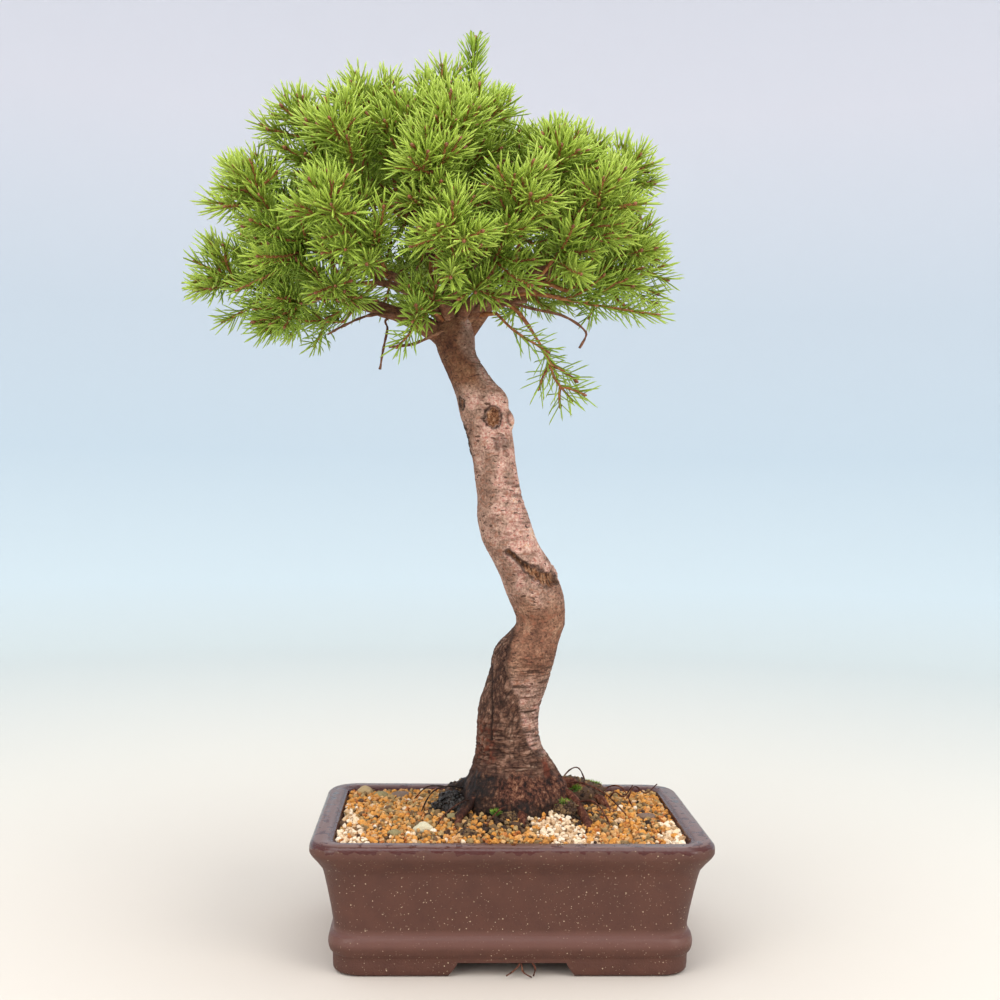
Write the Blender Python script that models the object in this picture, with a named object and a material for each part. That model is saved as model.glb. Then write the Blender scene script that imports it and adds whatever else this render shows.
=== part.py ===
"""A spruce bonsai in a rectangular unglazed pot, in metres with +Z up."""

import math
import random

import bmesh
import bpy
from mathutils import Vector, noise

# Pot: outer size at the rim, and its profiles as pairs of inset from the rim's edge and height
POT_WIDTH = 0.210
POT_DEPTH = 0.150
POT_HEIGHT = 0.070
POT_CORNER_RADIUS = 0.014
POT_INNER_CORNER_RADIUS = 0.007
POT_CORNER_STEPS = 3
POT_OUTER_PROFILE = (
    (0.0145, 0.0),
    (0.0124, 0.0018),
    (0.0120, 0.0092),
    (0.0106, 0.0115),
    (0.0097, 0.0155),
    (0.0104, 0.0198),
    (0.0123, 0.0245),
    (0.0075, 0.0505),
    (0.0050, 0.0565),
    (0.0012, 0.0618),
    (0.0, 0.0645),
    (0.0003, 0.0680),
    (0.0025, POT_HEIGHT),
)
POT_INNER_PROFILE = (
    (0.0088, POT_HEIGHT),
    (0.0116, 0.0688),
    (0.0124, 0.0655),
    (0.0178, 0.0300),
    (0.0185, 0.0170),
    (0.0215, 0.0130),
)
POT_FLOOR = 0.0130

# Feet: the underside is cut away to leave four L-shaped corners
FOOT_HEIGHT = 0.0075
FOOT_RAIL = 0.030
FRONT_GAP_TOP = 0.056
FRONT_GAP_BOTTOM = 0.065
SIDE_GAP_TOP = 0.040
SIDE_GAP_BOTTOM = 0.049

# Drainage
DRAIN_HOLE_RADIUS = 0.009
DRAIN_HOLE_X = 0.045
DRAIN_MESH_SIDE = 0.021
DRAIN_MESH_THICKNESS = 0.0010
DRAIN_MESH_HOLES = 2

# Neighbouring pieces keep this gap, and wood keeps a little more in the soil
SEAT_GAP = 0.0003
ROOT_GAP = 0.0006

# Soil
SOIL_EDGE_HEIGHT = 0.0672
SOIL_MOUND_HEIGHT = 0.0100
SOIL_MOUND_RADIUS = 0.042
SOIL_GRAIN_PITCH = 0.0104
SOIL_GRAIN_RELIEF = 0.0011
SOIL_SEED = 11

# Trunk: height, centre X, centre Y and half width, from the root stump to the crotch
TRUNK_STATIONS = (
    (0.036, 0.004, 0.005, 0.013),
    (0.050, 0.004, 0.005, 0.022),
    (0.066, 0.004, 0.005, 0.029),
    (0.078, 0.004, 0.005, 0.031),
    (0.090, 0.0034, 0.005, 0.0258),
    (0.096, 0.0028, 0.005, 0.0230),
    (0.105, 0.0005, 0.005, 0.0191),
    (0.115, -0.0005, 0.0053, 0.0175),
    (0.128, 0.0005, 0.0058, 0.0173),
    (0.145, 0.0053, 0.0062, 0.0174),
    (0.157, 0.0083, 0.0064, 0.0179),
    (0.1645, 0.0108, 0.0062, 0.0167),
    (0.171, 0.0149, 0.0060, 0.0144),
    (0.177, 0.0172, 0.0058, 0.0137),
    (0.190, 0.0141, 0.0050, 0.0160),
    (0.202, 0.0099, 0.0042, 0.0160),
    (0.212, 0.0048, 0.0038, 0.0162),
    (0.2215, -0.0007, 0.0034, 0.0156),
    (0.236, -0.0049, 0.0032, 0.0147),
    (0.249, -0.0075, 0.0034, 0.0124),
    (0.280, -0.0127, 0.0045, 0.0126),
    (0.291, -0.0156, 0.0048, 0.0138),
    (0.3025, -0.0182, 0.0050, 0.0142),
    (0.312, -0.0238, 0.0050, 0.0124),
    (0.326, -0.0315, 0.0050, 0.0108),
    (0.338, -0.0335, 0.0050, 0.0112),
    (0.350, -0.0330, 0.0050, 0.0085),
)
TRUNK_SIDES = 12
TRUNK_LUMP_SHARE = 0.045
TRUNK_LUMP_PITCH = 0.030

# Knobs on the trunk: root point, outer point and radius of old cuts and a stub
TRUNK_KNOBS = (
    ((-0.0140, -0.002, 0.2910), (-0.0112, -0.0100, 0.2915), 0.0056),
    ((-0.0240, 0.003, 0.2975), (-0.0330, -0.0010, 0.2990), 0.0045),
    ((-0.0080, 0.003, 0.2905), (0.0006, -0.0002, 0.2905), 0.0048),
    ((-0.0020, 0.004, 0.1530), (-0.0125, 0.0000, 0.1535), 0.0022),
)
KNOB_SIDES = 8
KNOB_ROOT_SHARE = 1.1

# Surface roots: start and end radius, then points from the flare outwards
SURFACE_ROOTS = (
    (0.0085, 0.0060, (
        (-0.012, 0.012, 0.083), (-0.024, 0.014, 0.081), (-0.033, 0.010, 0.077), (-0.038, 0.0, 0.068),
    )),
    (0.0045, 0.0026, (
        (-0.010, -0.006, 0.086), (-0.020, -0.014, 0.080), (-0.0265, -0.024, 0.0745), (-0.031, -0.038, 0.066),
    )),
    (0.0062, 0.0024, (
        (0.018, 0.010, 0.087), (0.031, 0.016, 0.0835), (0.043, 0.018, 0.079),
        (0.055, 0.012, 0.073), (0.064, -0.002, 0.063),
    )),
    (0.0050, 0.0026, (
        (0.020, 0.0, 0.086), (0.033, -0.004, 0.0815), (0.038, -0.014, 0.0765),
        (0.0415, -0.028, 0.0715), (0.040, -0.043, 0.064),
    )),
    (0.0066, 0.0032, ((0.004, -0.012, 0.080), (0.006, -0.027, 0.0735), (0.010, -0.042, 0.064))),
    (0.0075, 0.0030, ((0.004, 0.022, 0.085), (0.000, 0.036, 0.0785), (-0.006, 0.052, 0.066))),
    (0.0060, 0.0026, ((-0.006, 0.020, 0.084), (-0.022, 0.032, 0.0785), (-0.036, 0.046, 0.066))),
    (0.0060, 0.0026, ((0.016, 0.020, 0.084), (0.030, 0.034, 0.0785), (0.041, 0.050, 0.066))),
)
ROOT_SIDES = 5
BURIED_STATIONS = 7

# Crown: the tips of the shoots lie near this superellipsoid
CROWN_CENTRE = Vector((-0.048, 0.006, 0.372))
CROWN_HALF = Vector((0.129, 0.108, 0.101))
CROWN_EXPONENT = 2.5
CROWN_SIDE_EXPONENT = 3.2
CROWN_LOWEST_SINE = 0.02
CROWN_HIGHEST_SINE = 0.985
CROWN_TOP_WEIGHT = 0.85
CROWN_TILT = 0.20
CROWN_NOTCH_X = 0.016
CROWN_NOTCH_WIDTH = 0.030
CROWN_NOTCH_DEPTH = 0.022
CROWN_TIP_DEPTH = 0.009
CROWN_SEED = 2024
BRANCHLET_COUNT = 37
BRANCHLET_TRIES = 12
BRANCHLET_CLEARANCE = 0.013

# Limbs, each with its start and end radius: three are seen below the crown, and the rest follow a rule
CROTCH = Vector((-0.033, 0.005, 0.340))
GIVEN_LIMBS = (
    (0.0075, 0.0024, (
        (-0.033, 0.005, 0.336), (-0.035, 0.006, 0.362), (-0.031, 0.005, 0.392),
        (-0.032, 0.004, 0.418), (-0.031, 0.004, 0.4365),
    )),
    (0.0068, 0.0024, (
        (-0.034, 0.005, 0.3320), (-0.0475, 0.004, 0.3405), (-0.0615, 0.001, 0.3462),
        (-0.0867, -0.003, 0.3530), (-0.112, -0.005, 0.3590),
    )),
    (0.0050, 0.0021, (
        (-0.030, 0.005, 0.3330), (-0.0168, 0.004, 0.3526), (-0.0084, 0.003, 0.3600),
        (0.0083, 0.003, 0.3705), (0.0251, 0.004, 0.3777), (0.043, 0.006, 0.389),
    )),
)
LOW_LIMB_AZIMUTHS = (35, 72, 110, 148, 215, 250, 290, 325)
LOW_LIMB_ELEVATION = 24
LOW_LIMB_RADII = (0.0042, 0.0020)
HIGH_LIMB_AZIMUTHS = (20, 80, 140, 200, 260, 320)
HIGH_LIMB_ELEVATION = 50
HIGH_LIMB_RADII = (0.0038, 0.0019)
HIGH_LIMB_START = Vector((-0.034, 0.0055, 0.362))
LIMB_SHARE = 0.40
LIMB_BOW = 0.006
LIMB_KINK = 0.003
LIMB_SHORTEST_STEP = 0.003
LIMB_SIDES = 5

# Twigs leave a limb at one of these shares of its length, a little inside its surface
JOINT_SHARES = (0.45, 0.60, 0.74, 0.87, 1.0)
JOINT_SINK = 0.0025
TWIG_TURN_COST = 1.5
TWIG_RADIUS = 0.0013
TWIG_ROOT_RADIUS = 1.25 * TWIG_RADIUS
TWIG_END_LENGTH = 0.003
TWIG_STEPS = 2
TWIG_SIDES = 3

# Dead twigs under the crown: start and end radius, then points
DEAD_TWIGS = (
    (0.0014, 0.0010, (
        (-0.0660, 0.0, 0.3475), (-0.0721, -0.002, 0.3436), (-0.0709, -0.004, 0.3386),
        (-0.0730, -0.006, 0.3268), (-0.0745, -0.007, 0.3161),
    )),
    (0.0020, 0.0012, (
        (-0.0370, 0.0, 0.3370), (-0.0418, -0.004, 0.3375),
        (-0.0557, -0.008, 0.3305), (-0.0697, -0.011, 0.3280),
    )),
    (0.0015, 0.0010, (
        (-0.0130, 0.0, 0.3530), (-0.0022, -0.006, 0.3535), (0.0125, -0.010, 0.3500),
        (0.0267, -0.013, 0.3463), (0.0381, -0.014, 0.3380), (0.0349, -0.014, 0.3290),
    )),
    (0.0018, 0.0010, (
        (-0.0640, -0.002, 0.3470), (-0.0800, -0.010, 0.3455),
        (-0.0921, -0.014, 0.3400), (-0.1026, -0.018, 0.3335),
    )),
)

# Branchlets that hang or stand out in the photograph: how many side shoots each has, the points of its
# bare twig, and those that follow for its needled axis, which starts where the twig ends
FEATURE_BRANCHLETS = (
    ("leader", 2, ((-0.031, 0.004, 0.430), (-0.0308, 0.004, 0.4405)),
     ((-0.0282, 0.003, 0.4620), (-0.0245, 0.002, 0.5020))),
    ("beside_leader", 2, ((-0.0315, 0.004, 0.4080), (-0.0360, -0.003, 0.4230), (-0.0385, -0.006, 0.4340)),
     ((-0.0405, -0.008, 0.4580), (-0.0430, -0.009, 0.4830))),
    ("hanging_short", 0, ((-0.0200, 0.0, 0.3480), (-0.0110, -0.012, 0.3475)),
     ((-0.0010, -0.020, 0.3370), (0.0165, -0.024, 0.3260))),
    ("hanging_long", 1, ((-0.0120, 0.0, 0.3560), (-0.0010, -0.004, 0.3517), (0.0080, -0.004, 0.3410)),
     ((0.0180, -0.003, 0.3251), (0.0227, -0.002, 0.3129), (0.0319, 0.0, 0.3020))),
    ("low_right", 1, ((-0.0100, 0.002, 0.3590), (0.0100, -0.006, 0.3595), (0.0266, -0.012, 0.3561)),
     ((0.0458, -0.016, 0.3521), (0.0765, -0.020, 0.3475))),
    ("front_low_left", 2, ((-0.0850, -0.003, 0.3525), (-0.0930, -0.010, 0.3530), (-0.0985, -0.020, 0.3525)),
     ((-0.0980, -0.040, 0.3560), (-0.0955, -0.058, 0.3540))),
    ("front_low_centre", 2, ((-0.0370, 0.003, 0.3400), (-0.0415, -0.004, 0.3455), (-0.0460, -0.012, 0.3480)),
     ((-0.0520, -0.029, 0.3450), (-0.0560, -0.045, 0.3380))),
    ("front_centre", 2, ((-0.0310, 0.002, 0.3500), (-0.0265, -0.006, 0.3590), (-0.0240, -0.014, 0.3610)),
     ((-0.0235, -0.033, 0.3590), (-0.0235, -0.052, 0.3530))),
    ("left_low", 2, ((-0.1050, -0.005, 0.3570), (-0.1095, -0.008, 0.3540), (-0.1150, -0.012, 0.3510)),
     ((-0.1230, -0.018, 0.3465), (-0.1320, -0.024, 0.3380))),
    ("mid_right", 2, ((0.0200, 0.004, 0.3750), (0.0400, 0.010, 0.3690), (0.0520, 0.012, 0.3680)),
     ((0.0680, 0.014, 0.3730), (0.0850, 0.016, 0.3800))),
)
FEATURE_WHORL = 0.22

# Shoots and needles. Shares are of a shoot's length, and leans are in degrees from its way
AXIS_LENGTH = 0.058
AXIS_LARGEST_SHARE = 0.56
AXIS_SAG = 0.004
AXIS_NEEDLE_BANDS = (0.16, 0.49, 0.87)
AXIS_WHORLS = (0.27, 0.60)
WHORL_LATERALS = (2, 3)
WHORL_BAND = 0.0060
LATERAL_LENGTH = 0.029
LATERAL_NEEDLE_BANDS = ((0.76,), (0.42, 0.80))
LATERAL_LEAN = 50
LATERAL_TIP_LEAN = 36
LATERAL_STEPS = 4
LATERAL_TRIES = 8
NEEDLE_LENGTH = 0.0115
NEEDLE_LEAN = 54
NEEDLE_TIP_LEAN = 38
NEEDLE_BAND = 0.0016
NEEDLE_RADIUS = 0.00085
NEEDLE_CLEARANCE = 0.0003
NEEDLE_TRIES = 7
SHOOT_RADIUS = 0.0010
SHOOT_TIP_RADIUS = 0.00075
LATERAL_RADIUS = 0.92 * SHOOT_RADIUS
CORE_CLEARANCE = 0.0042
GOLDEN_ANGLE = math.pi * (3.0 - math.sqrt(5.0))


def clear_scene():
    for obj in list(bpy.data.objects):
        bpy.data.objects.remove(obj, do_unlink=True)


def make_material(name, colour, roughness):
    material = bpy.data.materials.new(name)
    material.use_nodes = True
    shader = material.node_tree.nodes["Principled BSDF"]
    shader.inputs["Base Color"].default_value = (*colour, 1.0)
    shader.inputs["Roughness"].default_value = roughness
    shader.inputs["Metallic"].default_value = 0.0
    return material


def link_object(bm, name, material=None):
    """Turns a bmesh into an object in the scene's own collection."""
    mesh = bpy.data.meshes.new(name)
    bm.to_mesh(mesh)
    bm.free()
    if material:
        mesh.materials.append(material)
    obj = bpy.data.objects.new(name, mesh)
    bpy.context.scene.collection.objects.link(obj)
    return obj


def make_helper(obj):
    obj.hide_render = True
    obj.display_type = "WIRE"


def add_boolean(obj, operation, cutter):
    """Adds an exact Boolean with an object or a whole collection as its operand."""
    modifier = obj.modifiers.new(operation.lower(), "BOOLEAN")
    modifier.operation = operation
    modifier.solver = "EXACT"
    if isinstance(cutter, bpy.types.Collection):
        modifier.operand_type = "COLLECTION"
        modifier.collection = cutter
    else:
        modifier.object = cutter
    return modifier


def loft(bm, rings):
    """Joins rings of equal length in order and caps both ends. They turn anticlockwise about their way."""
    made = [[bm.verts.new(point) for point in ring] for ring in rings]
    for low, high in zip(made, made[1:]):
        for i in range(len(low)):
            j = (i + 1) % len(low)
            bm.faces.new((low[i], low[j], high[j], high[i]))
    bm.faces.new(list(reversed(made[0])))
    bm.faces.new(made[-1])


def rounded_rectangle(width, depth, radius, height, steps):
    points = []
    for corner, (sign_x, sign_y) in enumerate(((1, 1), (-1, 1), (-1, -1), (1, -1))):
        centre_x = sign_x * (width / 2 - radius)
        centre_y = sign_y * (depth / 2 - radius)
        for step in range(steps + 1):
            angle = math.pi / 2 * (corner + step / steps)
            x = centre_x + radius * math.cos(angle)
            y = centre_y + radius * math.sin(angle)
            points.append(Vector((x, y, height)))
    return points


def smooth_path(controls, steps):
    """A Catmull-Rom curve through the controls, with the same number of steps in each span."""
    points = [Vector(control) for control in controls]
    padded = [2 * points[0] - points[1], *points, 2 * points[-1] - points[-2]]
    path = []
    for a, b, c, d in zip(padded, padded[1:], padded[2:], padded[3:]):
        square = 2 * a - 5 * b + 4 * c - d
        cube = 3 * b - a - 3 * c + d
        for step in range(steps):
            t = step / steps
            path.append(0.5 * (2 * b + (c - a) * t + square * t**2 + cube * t**3))
    path.append(points[-1].copy())
    return path


def point_along(path, share):
    """The point at this share of the path's length."""
    lengths = [(b - a).length for a, b in zip(path, path[1:])]
    left = share * sum(lengths)
    for a, b, length in zip(path, path[1:], lengths):
        if left <= length:
            return a.lerp(b, left / length)
        left -= length
    return path[-1].copy()


def path_length(path):
    return sum((b - a).length for a, b in zip(path, path[1:]))


def carried_frames(points):
    """A tangent and two side vectors at each point, carried along the path without twist."""
    tangents = []
    for i in range(len(points)):
        before = points[max(i - 1, 0)]
        after = points[min(i + 1, len(points) - 1)]
        tangents.append((after - before).normalized())
    side = tangents[0].cross(Vector((0.0, 0.0, 1.0)))
    if side.length < 0.1:
        side = tangents[0].cross(Vector((0.0, 1.0, 0.0)))
    frames = []
    for tangent in tangents:
        side = (side - tangent * side.dot(tangent)).normalized()
        frames.append((tangent, side, tangent.cross(side)))
    return frames


def tube_rings(path, start_radius, end_radius, sides):
    rings = []
    for i, (point, (_, side, other)) in enumerate(zip(path, carried_frames(path))):
        radius = start_radius + (end_radius - start_radius) * i / (len(path) - 1)
        ring = []
        for k in range(sides):
            angle = 2 * math.pi * k / sides
            ring.append(point + side * radius * math.cos(angle) + other * radius * math.sin(angle))
        rings.append(ring)
    return rings


def add_tube(name, path, start_radius, end_radius, sides):
    bm = bmesh.new()
    loft(bm, tube_rings(path, start_radius, end_radius, sides))
    return link_object(bm, name)


# Pot, soil and drainage


def pot_rings(profile, corner_radius, extra_inset=0.0):
    rings = []
    for inset, height in profile:
        width = POT_WIDTH - 2 * (inset + extra_inset)
        depth = POT_DEPTH - 2 * (inset + extra_inset)
        rings.append(rounded_rectangle(width, depth, corner_radius, height, POT_CORNER_STEPS))
    return rings


def gap_prism(name, top, bottom, length, along_x):
    """A cutter with the S-curved ends of a foot gap, running right through the pot."""
    flare = (bottom - top) / 2
    half = [(bottom / 2, -0.002), (bottom / 2, 0.0008), (top / 2 + flare * 0.6, 0.0030)]
    half += [(top / 2 + flare * 0.25, 0.0056), (top / 2, FOOT_HEIGHT)]
    outline = half + [(-x, z) for x, z in reversed(half)]
    rings = []
    for end in (length / 2, -length / 2):
        ring = [Vector((end, x, z)) if along_x else Vector((x, end, z)) for x, z in outline]
        rings.append(ring)
    if along_x:
        rings.reverse()
    bm = bmesh.new()
    loft(bm, rings)
    return link_object(bm, name)


def box_object(name, size, centre):
    bm = bmesh.new()
    bmesh.ops.create_cube(bm, size=1.0)
    bmesh.ops.scale(bm, vec=size, verts=bm.verts)
    bmesh.ops.translate(bm, vec=centre, verts=bm.verts)
    return link_object(bm, name)


def drain_hole(name, x):
    bm = bmesh.new()
    bmesh.ops.create_cone(
        bm, cap_ends=True, segments=12, radius1=DRAIN_HOLE_RADIUS, radius2=DRAIN_HOLE_RADIUS, depth=0.016
    )
    bmesh.ops.translate(bm, vec=(x, 0.0, POT_FLOOR - 0.003), verts=bm.verts)
    return link_object(bm, name)


def build_pot(material):
    bm = bmesh.new()
    rings = pot_rings(POT_OUTER_PROFILE, POT_CORNER_RADIUS)
    rings += pot_rings(POT_INNER_PROFILE, POT_INNER_CORNER_RADIUS)
    loft(bm, rings)
    pot = link_object(bm, "pot", material)
    recess_size = (POT_WIDTH - 2 * FOOT_RAIL, POT_DEPTH - 2 * FOOT_RAIL, 2 * FOOT_HEIGHT)
    cutters = [
        box_object("foot_recess_cutter", recess_size, (0.0, 0.0, 0.0)),
        gap_prism("front_gap_cutter", FRONT_GAP_TOP, FRONT_GAP_BOTTOM, POT_DEPTH + 0.02, False),
        gap_prism("side_gap_cutter", SIDE_GAP_TOP, SIDE_GAP_BOTTOM, POT_WIDTH + 0.02, True),
        drain_hole("drain_cutter_left", -DRAIN_HOLE_X),
        drain_hole("drain_cutter_right", DRAIN_HOLE_X),
    ]
    for cutter in cutters:
        make_helper(cutter)
        add_boolean(pot, "DIFFERENCE", cutter)
    return pot


def build_drain_mesh(name, x, material):
    """A square of plastic mesh with open cells, lying on the pot's floor over a drainage hole."""
    cells = 2 * DRAIN_MESH_HOLES + 1
    bm = bmesh.new()
    bmesh.ops.create_grid(bm, x_segments=cells, y_segments=cells, size=DRAIN_MESH_SIDE / 2)
    step = DRAIN_MESH_SIDE / cells
    openings = []
    for face in bm.faces:
        centre = face.calc_center_median()
        column = int((centre.x + DRAIN_MESH_SIDE / 2) / step)
        row = int((centre.y + DRAIN_MESH_SIDE / 2) / step)
        if column % 2 and row % 2:
            openings.append(face)
    bmesh.ops.delete(bm, geom=openings, context="FACES")
    bmesh.ops.solidify(bm, geom=bm.faces[:], thickness=DRAIN_MESH_THICKNESS)
    bmesh.ops.recalc_face_normals(bm, faces=bm.faces)
    lowest = min(vert.co.z for vert in bm.verts)
    bmesh.ops.translate(bm, vec=(x, 0.0, POT_FLOOR + SEAT_GAP - lowest), verts=bm.verts)
    return link_object(bm, name, material)


def soil_height(x, y):
    """Level near the pot's wall and mounded round the trunk."""
    from_trunk = math.hypot(x - TRUNK_STATIONS[3][1], y - TRUNK_STATIONS[3][2])
    return SOIL_EDGE_HEIGHT + SOIL_MOUND_HEIGHT * math.exp(-((from_trunk / SOIL_MOUND_RADIUS) ** 2))


def grain_block():
    """A block whose top is a grid of jittered points, for the grains of the soil."""
    bottom = POT_FLOOR / 2
    draw = random.Random(SOIL_SEED)
    columns = round(POT_WIDTH / SOIL_GRAIN_PITCH)
    rows = round(POT_DEPTH / SOIL_GRAIN_PITCH)
    bm = bmesh.new()
    bmesh.ops.create_grid(bm, x_segments=columns, y_segments=rows, size=0.5)
    for vert in bm.verts:
        x = vert.co.x * POT_WIDTH + draw.uniform(-0.3, 0.3) * SOIL_GRAIN_PITCH
        y = vert.co.y * POT_DEPTH + draw.uniform(-0.3, 0.3) * SOIL_GRAIN_PITCH
        vert.co = (x, y, soil_height(x, y) + draw.uniform(-1, 1) * SOIL_GRAIN_RELIEF)
    bmesh.ops.triangulate(bm, faces=bm.faces[:])
    top = bm.faces[:]
    edges = [edge for edge in bm.edges if edge.is_boundary]
    skirt = bmesh.ops.extrude_edge_only(bm, edges=edges)["geom"]
    for vert in skirt:
        if isinstance(vert, bmesh.types.BMVert):
            vert.co.z = bottom
    rim = [edge for edge in bm.edges if edge.is_boundary]
    bmesh.ops.contextual_create(bm, geom=rim)
    bmesh.ops.recalc_face_normals(bm, faces=bm.faces[:])
    if top[0].normal.z < 0:
        bmesh.ops.reverse_faces(bm, faces=bm.faces[:])
    return bm


def build_soil(material, root_collection):
    soil = link_object(grain_block(), "soil", material)
    bm = bmesh.new()
    wall = [(inset, height + SEAT_GAP) for inset, height in reversed(POT_INNER_PROFILE[2:])]
    above = (wall[-1][0], POT_HEIGHT + 0.03)
    loft(bm, pot_rings([*wall, above], POT_INNER_CORNER_RADIUS, SEAT_GAP))
    pot_inside = link_object(bm, "pot_inside_guide")
    make_helper(pot_inside)
    add_boolean(soil, "INTERSECT", pot_inside)
    for side, x in (("left", -DRAIN_HOLE_X), ("right", DRAIN_HOLE_X)):
        wide = DRAIN_MESH_SIDE + 4 * SEAT_GAP
        high = POT_FLOOR + DRAIN_MESH_THICKNESS + 2 * SEAT_GAP
        recess = box_object(f"drain_recess_cutter_{side}", (wide, wide, high), (x, 0.0, high / 2))
        make_helper(recess)
        add_boolean(soil, "DIFFERENCE", recess)
    add_boolean(soil, "DIFFERENCE", root_collection)
    return soil


# Trunk and roots


def trunk_rings(stations, sides, grow=0.0):
    rings = []
    for height, x, y, radius in stations:
        ring = []
        for k in range(sides):
            angle = 2 * math.pi * k / sides
            way = Vector((math.cos(angle), math.sin(angle), 0.0))
            lump = noise.noise(Vector((way.x, way.y, height / TRUNK_LUMP_PITCH)) * 1.3)
            reach = radius * (1 + TRUNK_LUMP_SHARE * lump) + grow
            ring.append(Vector((x, y, height)) + way * reach)
        rings.append(ring)
    return rings


def add_trunk(name, stations, grow=0.0):
    bm = bmesh.new()
    rings = trunk_rings(stations, TRUNK_SIDES, grow)
    if grow:
        rings[0] = [point - Vector((0.0, 0.0, grow)) for point in rings[0]]
    loft(bm, rings)
    return link_object(bm, name)


def add_root(name, controls, start_radius, end_radius, grow=0.0):
    path = smooth_path(controls, 2)[::2]
    if grow:
        path[-1] = path[-1] + (path[-1] - path[-2]).normalized() * grow
    return add_tube(name, path, start_radius + grow, end_radius + grow, ROOT_SIDES)


def root_cutters():
    """A slightly larger copy of the stump and the roots, which the soil is cut by."""
    collection = bpy.data.collections.new("root_cutters")
    bpy.context.scene.collection.children.link(collection)
    pieces = [add_trunk("stump_cutter", TRUNK_STATIONS[:BURIED_STATIONS], ROOT_GAP)]
    for number, (start, end, controls) in enumerate(SURFACE_ROOTS):
        pieces.append(add_root(f"root_cutter_{number}", controls, start, end, ROOT_GAP))
    for piece in pieces:
        move_to_collection(piece, collection)
        make_helper(piece)
    return collection


def move_to_collection(obj, collection):
    for old in list(obj.users_collection):
        old.objects.unlink(obj)
    collection.objects.link(obj)


# Crown: limbs, twigs and shoots, worked out as paths before any mesh is made


def segment_gap(p0, p1, q0, q1):
    """The least distance between two segments, with the share along each where it lies."""
    d1 = p1 - p0
    d2 = q1 - q0
    r = p0 - q0
    a = d1.dot(d1)
    e = d2.dot(d2)
    f = d2.dot(r)
    c = d1.dot(r)
    b = d1.dot(d2)
    spread = a * e - b * b
    s = min(max((b * f - c * e) / spread, 0.0), 1.0) if spread > 1e-14 else 0.0
    t = (b * s + f) / e
    if t < 0.0:
        t = 0.0
        s = min(max(-c / a, 0.0), 1.0)
    elif t > 1.0:
        t = 1.0
        s = min(max((b - c) / a, 0.0), 1.0)
    return ((p0 + d1 * s) - (q0 + d2 * t)).length, s, t


def crown_value(point):
    """Below 1 inside the crown's shape and 1 on it."""
    across, deep, up = [abs(point[axis] - CROWN_CENTRE[axis]) / CROWN_HALF[axis] for axis in range(3)]
    return across**CROWN_SIDE_EXPONENT + deep**CROWN_EXPONENT + up**CROWN_EXPONENT


def crown_reach(start, way):
    distance = 0.0
    while crown_value(start + way * distance) < 1.0:
        distance += 0.002
    return distance


def crown_tip(sine, azimuth, depth):
    """The place of a shoot's tip on the crown, which slopes down to the left below and dips beside the leader."""
    level = math.sqrt(1 - sine * sine)
    way = Vector((level * math.cos(azimuth), level * math.sin(azimuth), sine))
    tip = CROWN_CENTRE + way * (crown_reach(CROWN_CENTRE, way) - depth)
    highness = min(max((tip.z - CROWN_CENTRE.z) / CROWN_HALF.z, 0.0), 1.0)
    notch = math.exp(-(((tip.x - CROWN_NOTCH_X) / CROWN_NOTCH_WIDTH) ** 2))
    tip.z += CROWN_TILT * (tip.x - CROWN_CENTRE.x) * (1.0 - highness)
    tip.z -= CROWN_NOTCH_DEPTH * notch * highness
    return tip


def way_of(azimuth, elevation):
    across = math.cos(math.radians(elevation))
    return Vector((
        across * math.cos(math.radians(azimuth)),
        across * math.sin(math.radians(azimuth)),
        math.sin(math.radians(elevation)),
    ))


def ruled_limb(start, way, draw):
    """A limb that leaves steeply, flattens, and ends part of the way to the crown's surface."""
    length = crown_reach(start, way) * LIMB_SHARE
    across = way.cross(Vector((0.0, 0.0, 1.0))).normalized()
    controls = [start.copy()]
    for share in (0.3, 0.65, 1.0):
        bow = Vector((0.0, 0.0, LIMB_BOW * math.sin(math.pi * share)))
        kink = across * draw.uniform(-LIMB_KINK, LIMB_KINK)
        controls.append(start + way * (length * share) + bow + kink)
    return controls


def grow_limbs(draw):
    """Every limb as its start radius, its end radius and its path."""
    limbs = [(start, end, [Vector(control) for control in controls]) for start, end, controls in GIVEN_LIMBS]
    for azimuth in LOW_LIMB_AZIMUTHS:
        way = way_of(azimuth, LOW_LIMB_ELEVATION + draw.uniform(-5, 5))
        limbs.append((*LOW_LIMB_RADII, ruled_limb(CROTCH, way, draw)))
    for azimuth in HIGH_LIMB_AZIMUTHS:
        start = HIGH_LIMB_START + Vector((0.0, 0.0, draw.uniform(-0.008, 0.010)))
        way = way_of(azimuth, HIGH_LIMB_ELEVATION + draw.uniform(-6, 6))
        limbs.append((*HIGH_LIMB_RADII, ruled_limb(start, way, draw)))
    return limbs


def twig_path(start, start_way, end, end_way):
    """A cubic curve that leaves along one way and arrives along another."""
    pull = 0.4 * (end - start).length
    a = start + start_way * pull
    b = end - end_way * pull
    path = []
    for step in range(TWIG_STEPS + 1):
        t = step / TWIG_STEPS
        rest = 1 - t
        path.append(start * rest**3 + a * 3 * t * rest**2 + b * 3 * t * t * rest + end * t**3)
    return path


def choose_limb(base, way, limbs):
    """The best place for a twig to this base to leave from: limb, share of its length, point and way."""
    best = None
    for number, (_, _, path) in enumerate(limbs):
        for share in JOINT_SHARES:
            joint = point_along(path, share)
            tangent = (joint - point_along(path, share - 0.1)).normalized()
            span = base - joint
            straightness = span.normalized().dot((tangent + way * 3).normalized())
            cost = span.length * (1 + TWIG_TURN_COST * (1 - straightness))
            if best is None or cost < best[0]:
                best = (cost, number, share, joint, tangent)
    return best[1:]


def axis_path(tip, way, length):
    """A needled axis that ends at the tip and bends up a little on its way there."""
    path = []
    for share in (0.0, 0.5, 1.0):
        sag = Vector((0.0, 0.0, -AXIS_SAG * math.sin(math.pi * share)))
        path.append(tip - way * length * (1 - share) + sag)
    return smooth_path(path, 3)


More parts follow.
